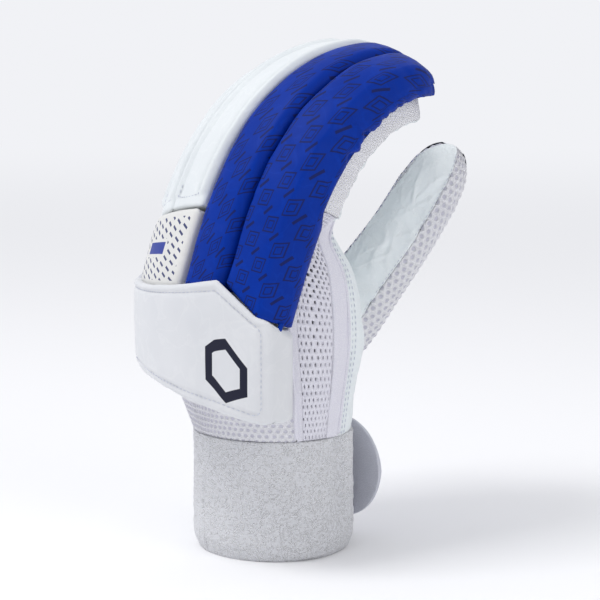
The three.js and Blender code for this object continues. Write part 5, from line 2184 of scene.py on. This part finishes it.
@dataclass
class HandCover:
    """The hand's panels, pipings and stitching. Angles are degrees round the hand from its back."""

    back_seam: float = 76.0
    palm_seam: float = 113.0
    mesh_thickness: float = 2.2
    leather_thickness: float = 1.8
    seam_rows: tuple[float, float] = (3.5, 7.5)

    def line(self, angle: float, top: float, grow: float) -> Array:
        """A line up the hand at one angle, a little proud of it."""
        return HAND.surface(np.linspace(0.01, top, 90), np.array([angle]), grow)[:, 0]

    def build(self) -> None:
        """Makes and dresses the hand."""
        back, palm, cloth = self.back_seam, self.palm_seam, self.mesh_thickness
        HandPanel("back_mesh", MESH, -back, back, cloth, 0.75, 3.2).build()
        HandPanel("palm_leather", LEATHER, palm, 360 - palm, self.leather_thickness, 1.0, seed=71).build()
        PunchedGusset("ulnar_gusset", CLOTH, back, palm, cloth, 1.0, seed=81).build()
        PunchedGusset("radial_gusset", CLOTH, 360 - palm, 360 - back, cloth, 1.0, seed=91,
                      punched=(260.0, 279.0)).build()
        for label, angle, radius, top in (("ulnar_back", back, 1.0, 0.98), ("ulnar_palm", palm, 0.8, 0.98),
                                          ("radial_back", 360 - back, 1.0, 0.58)):
            tube(f"{label}_piping", self.line(angle, top, 0.2), radius, CLOTH)
        palm_side = np.linspace(palm - 6, 366 - palm, 90)
        tube("palm_top_piping", HAND.knuckles(palm_side, -0.6), 1.7, LEATHER, 12)
        rows = [self.line(palm + row, 0.98, 0.45) for row in self.seam_rows]
        stitches("palm_seam_stitches", rows, WHITE_THREAD, pitch=2.6, length=1.9, radius=0.24)


@dataclass
class FingerStall:
    """One finger stall, with a mesh back and sides and a leather palm side."""

    form: StallForm
    number: int
    thickness: float = 1.8
    margin: float = 0.5
    mesh_step: float = 0.85
    leather_step: float = 0.95
    half_width: float = 18.0

    def mesh_relief(self, u: Array, v: Array) -> Array:
        """Slack and dimples of the mesh."""
        return 0.35 * clouds(u, v, 9, 101 + self.number) - 0.25 * dimples(u, v, 1.7, 0.7, 1)

    def leather_relief(self, u: Array, v: Array) -> Array:
        """Slack, pleats and creases of the leather."""
        pleats = np.sin(v * 0.75 + 1.5 * noise(u, v, 8, 111 + self.number))
        slack = 0.4 * clouds(u, v, 8, 121 + self.number) + 0.35 * pleats
        return slack - wrinkles(u, v, 0.35, 131 + self.number)

    def build(self) -> None:
        """Makes and dresses both sides."""
        seam, margin = self.form.seam_angle(), self.margin
        inside = self.form.centre(80.0)
        sides = (
            ("mesh", FINE_MESH, margin - seam, seam - margin, self.mesh_step, self.mesh_relief),
            ("leather", LEATHER, seam + margin, 360 - seam - margin, self.leather_step, self.leather_relief),
        )
        for kind, finish, start, stop, step, relief in sides:
            name = f"{self.form.name}_finger_{kind}"
            count = int(math.radians(stop - start) * self.half_width / step)
            grid = Grid(self.form.surface(np.linspace(start, stop, count), step))
            u, v = np.moveaxis(grid.flat(), -1, 0)
            grid = grid.raised(relief(u, v) * (1 - ease(v, v.max() - 9, v.max() - 2)), inside)
            dress(wall(clean(grid_object(name, grid, inside)), self.thickness), finish, name)


# Wristband and strap

@dataclass
class Wristband:
    """Knitted band with a tucked hem."""

    step: float = 0.8
    fold_angle: float = 118.0

    def build(self) -> bpy.types.Object:
        """Makes and dresses the band."""
        columns = int(2 * math.pi * BAND.half_width / self.step)
        outside = np.linspace(0, BAND.height, int(BAND.height / self.step))
        inside = np.linspace(BAND.height, 0, 24)
        height = np.concatenate([outside, inside])
        inner = np.concatenate([np.zeros(len(outside)), np.ones(len(inside))])
        angle, height = np.meshgrid(full_turn(columns), height)
        inner = np.tile(inner[:, None], (1, columns))
        tuck = BAND.hem_tuck * np.clip(1 - height / BAND.hem_height, 0, 1) ** 2
        inset = tuck + inner * BAND.wall
        across = np.radians(angle) * BAND.half_width
        loops = 0.32 * noise(across, height, 1.5, 141) + 0.5 * clouds(across, height, 24, 142)
        fold = -2.6 * hump(angle, self.fold_angle, 8) * ease(height, 6, 30)
        fold += 1.0 * hump(angle, self.fold_angle + 22, 12) + 0.8 * hump(angle, self.fold_angle - 26, 14)
        lift = (loops + fold) * (1 - inner) * ease(height, -0.1, 1.6)
        points = np.concatenate([BAND.around(angle, lift - inset), height[..., None]], -1)
        grid = Grid(points, wrap_rows=True, wrap_columns=True)
        return dress(grid_object("wristband", grid), KNIT, "wristband")


@dataclass
class Strap:
    """Fleece strap that lies on the band, leaves it and ends in a half circle."""

    width: float = 47.0
    lying_width: float = 40.0
    thickness: float = 2.2
    neck: float = 3.0
    lift: float = 8.0
    centre_height: float = 32.0
    root_angle: float = 222.0
    leave_angle: float = 186.0
    lie: float = 0.9

    def line(self) -> tuple[Array, Array]:
        """Middle line of the strap seen from above, and its half width along it."""
        clear = self.lie + self.thickness / 2
        lying = BAND.around(np.linspace(self.root_angle, self.leave_angle, 26), clear)
        radius = self.width / 2
        length = radius + self.neck
        heading = np.array([length, self.lift]) / math.hypot(length, self.lift)
        run = length * np.sin(quarter(40))[1:]
        free = lying[-1] + heading * run[:, None]
        past = np.clip((run - self.neck) / radius, 0, 1)
        half = np.concatenate([
            np.full(len(lying), self.lying_width / 2),
            np.where(run < self.neck, blend(self.lying_width / 2, radius, ease(run, 0, self.neck)),
                     radius * np.sqrt(np.maximum(1 - past**2, 1e-4))),
        ])
        return np.concatenate([lying, free]), half

    def build(self) -> bpy.types.Object:
        """Makes and dresses the strap."""
        line, half = self.line()
        along = unit(np.gradient(line, axis=0))
        off = np.stack([along[:, 1], -along[:, 0]], -1)
        turn = np.radians(full_turn(96))
        out = power(np.cos(turn), 0.28) * self.thickness / 2
        u = np.sin(turn)[None, :] * half[:, None]
        v = np.cumsum(np.concatenate([[0], np.linalg.norm(np.diff(line, axis=0), axis=1)]))[:, None]
        fuzz = 0.15 * clouds(u, np.broadcast_to(v, u.shape), 7, 151)
        shift = out[None, :] + fuzz * np.sign(out)[None, :]
        x = line[:, 0:1] + off[:, 0:1] * shift
        y = line[:, 1:2] + off[:, 1:2] * shift
        grid = Grid(np.stack([x, y, self.centre_height + u], -1), wrap_columns=True, cap_ends=True)
        return dress(grid_object("wrist_strap", grid), FLEECE, "wrist_strap")


# Camera, lights and floor

@dataclass(frozen=True)
class PhotoView:
    """Camera at the photograph's angle. Distances are millimetres."""

    azimuth: float = 59.0
    elevation: float = 8.0
    distance: float = 975.0
    lens: float = 128.7
    sensor: float = 36.0
    aside: float = 12.73
    above: float = 110.45

    def axes(self) -> tuple[Vector, Vector, Vector]:
        """Directions to the right, up and back towards the camera."""
        turn, tilt = math.radians(self.azimuth), math.radians(self.elevation)
        back = Vector((math.sin(turn) * math.cos(tilt), -math.cos(turn) * math.cos(tilt), math.sin(tilt)))
        right = Vector((math.cos(turn), math.sin(turn), 0))
        return right, back.cross(right), back

    def target(self) -> Vector:
        """Point that the camera looks at, in the frame."""
        right, up, _ = self.axes()
        return (Vector(ORIGIN.tolist()) + right * self.aside + up * self.above) * MM

    def build(self) -> None:
        """Adds the camera and makes it the scene's."""
        right, up, back = self.axes()
        data = bpy.data.cameras.new("photo_camera")
        data.lens = self.lens
        data.sensor_width = self.sensor
        camera = bpy.data.objects.new("photo_camera", data)
        place = self.target() + back * self.distance * MM
        camera.matrix_world = Matrix.Translation(place) @ Matrix((right, up, back)).transposed().to_4x4()
        bpy.context.scene.collection.objects.link(camera)
        bpy.context.scene.camera = camera


@dataclass(frozen=True)
class SoftBox:
    """Square studio light, placed from the camera's directions, in metres."""

    name: str
    aside: float
    above: float
    towards: float
    size: float
    power: float

    def build(self, view: PhotoView) -> None:
        """Adds the light, facing the glove."""
        right, up, back = view.axes()
        data = bpy.data.lights.new(self.name, "AREA")
        data.energy = self.power
        data.size = self.size
        light = bpy.data.objects.new(self.name, data)
        target = view.target()
        place = target + right * self.aside + Vector((0, 0, 1)) * self.above + back * self.towards
        aim = (place - target).to_track_quat("Z", "Y").to_matrix().to_4x4()
        light.matrix_world = Matrix.Translation(place) @ aim
        bpy.context.scene.collection.objects.link(light)


@dataclass(frozen=True)
class Studio:
    """Camera, lights, sky and paper floor round the glove. The floor's sizes are metres."""

    view: PhotoView = PhotoView()
    lights: tuple[SoftBox, ...] = (
        SoftBox("key_light", -0.75, 1.35, 0.35, 0.6, 9.5),
        SoftBox("fill_light", 1.0, 0.5, 1.0, 1.0, 5.0),
    )
    sky: tuple[int, int, int] = (250, 251, 255)
    paper: tuple[int, int, int] = (250, 250, 251)
    strength: float = 0.92
    dimmest: float = 0.4
    floor_radius: float = 6.0
    fade_from: float = 0.2
    fade_to: float = 2.6

    def seamless_paper(self) -> bpy.types.Material:
        """White paper that turns into the sky's own white far behind the glove."""
        paper = bpy.data.materials.new("seamless_paper")
        paper.use_nodes = True
        nodes = Nodes(paper.node_tree)
        behind = -self.view.axes()[2]
        place = nodes.add("ShaderNodeTexCoord").outputs["Object"]
        inputs = {0: place, 1: (behind.x, behind.y, 0.0)}
        far = nodes.add("ShaderNodeVectorMath", inputs, operation="DOT_PRODUCT").outputs["Value"]
        shader = paper.node_tree.nodes["Principled BSDF"]
        shader.inputs["Specular IOR Level"].default_value = 0.0
        shader.inputs["Roughness"].default_value = 0.8
        shader.inputs["Emission Color"].default_value = linear(self.sky)
        fade = nodes.spread(far, self.fade_from, self.fade_to)
        colour = nodes.mix(fade, linear(self.paper), (0, 0, 0, 1))
        paper.node_tree.links.new(colour, shader.inputs["Base Color"])
        glow = nodes.math("MULTIPLY", fade, self.strength)
        paper.node_tree.links.new(glow, shader.inputs["Emission Strength"])
        return paper

    def build_sky(self) -> None:
        """Makes the world, brightest behind the glove."""
        world = bpy.data.worlds.new("studio")
        world.use_nodes = True
        nodes = Nodes(world.node_tree)
        right, up, back = self.view.axes()
        brightest = (up * 0.35 - right * 0.6 - back * 0.6).normalized()
        toward = nodes.add("ShaderNodeTexCoord").outputs["Generated"]
        inputs = {0: toward, 1: brightest}
        facing = nodes.add("ShaderNodeVectorMath", inputs, operation="DOT_PRODUCT").outputs["Value"]
        sky = world.node_tree.nodes["Background"]
        sky.inputs["Color"].default_value = linear(self.sky)
        strength = nodes.spread(facing, -0.6, 0.5, self.dimmest, self.strength)
        world.node_tree.links.new(strength, sky.inputs["Strength"])
        bpy.context.scene.world = world

    def build_floor(self) -> None:
        """Makes the round floor."""
        rings, sides = 12, 64
        turn = np.radians(full_turn(sides))
        spread = (np.linspace(0.02, 1, rings) ** 2 * self.floor_radius / MM)[:, None]
        level = np.zeros((rings, sides)) - ORIGIN[2]
        points = np.stack([spread * np.cos(turn), spread * np.sin(turn), level], -1)
        floor = grid_object("floor", Grid(points, wrap_columns=True), np.array([0, 0, -1000.0]))
        floor.data.materials.append(self.seamless_paper())

    def build(self) -> None:
        """Makes the studio."""
        self.view.build()
        for light in self.lights:
            light.build(self.view)
        self.build_sky()
        bpy.context.scene.view_settings.view_transform = "Standard"
        self.build_floor()


def main() -> None:
    """Builds the glove from the wrist up, then the studio."""
    logging.basicConfig(level=logging.INFO)
    fingers = [FingerStall(form, number) for number, form in enumerate(STALLS)]
    for part in (Wristband(), Strap(), HandCover(), *fingers, ThumbStall(), BackPads(), Studio()):
        part.build()


if __name__ == "__main__":
    main()
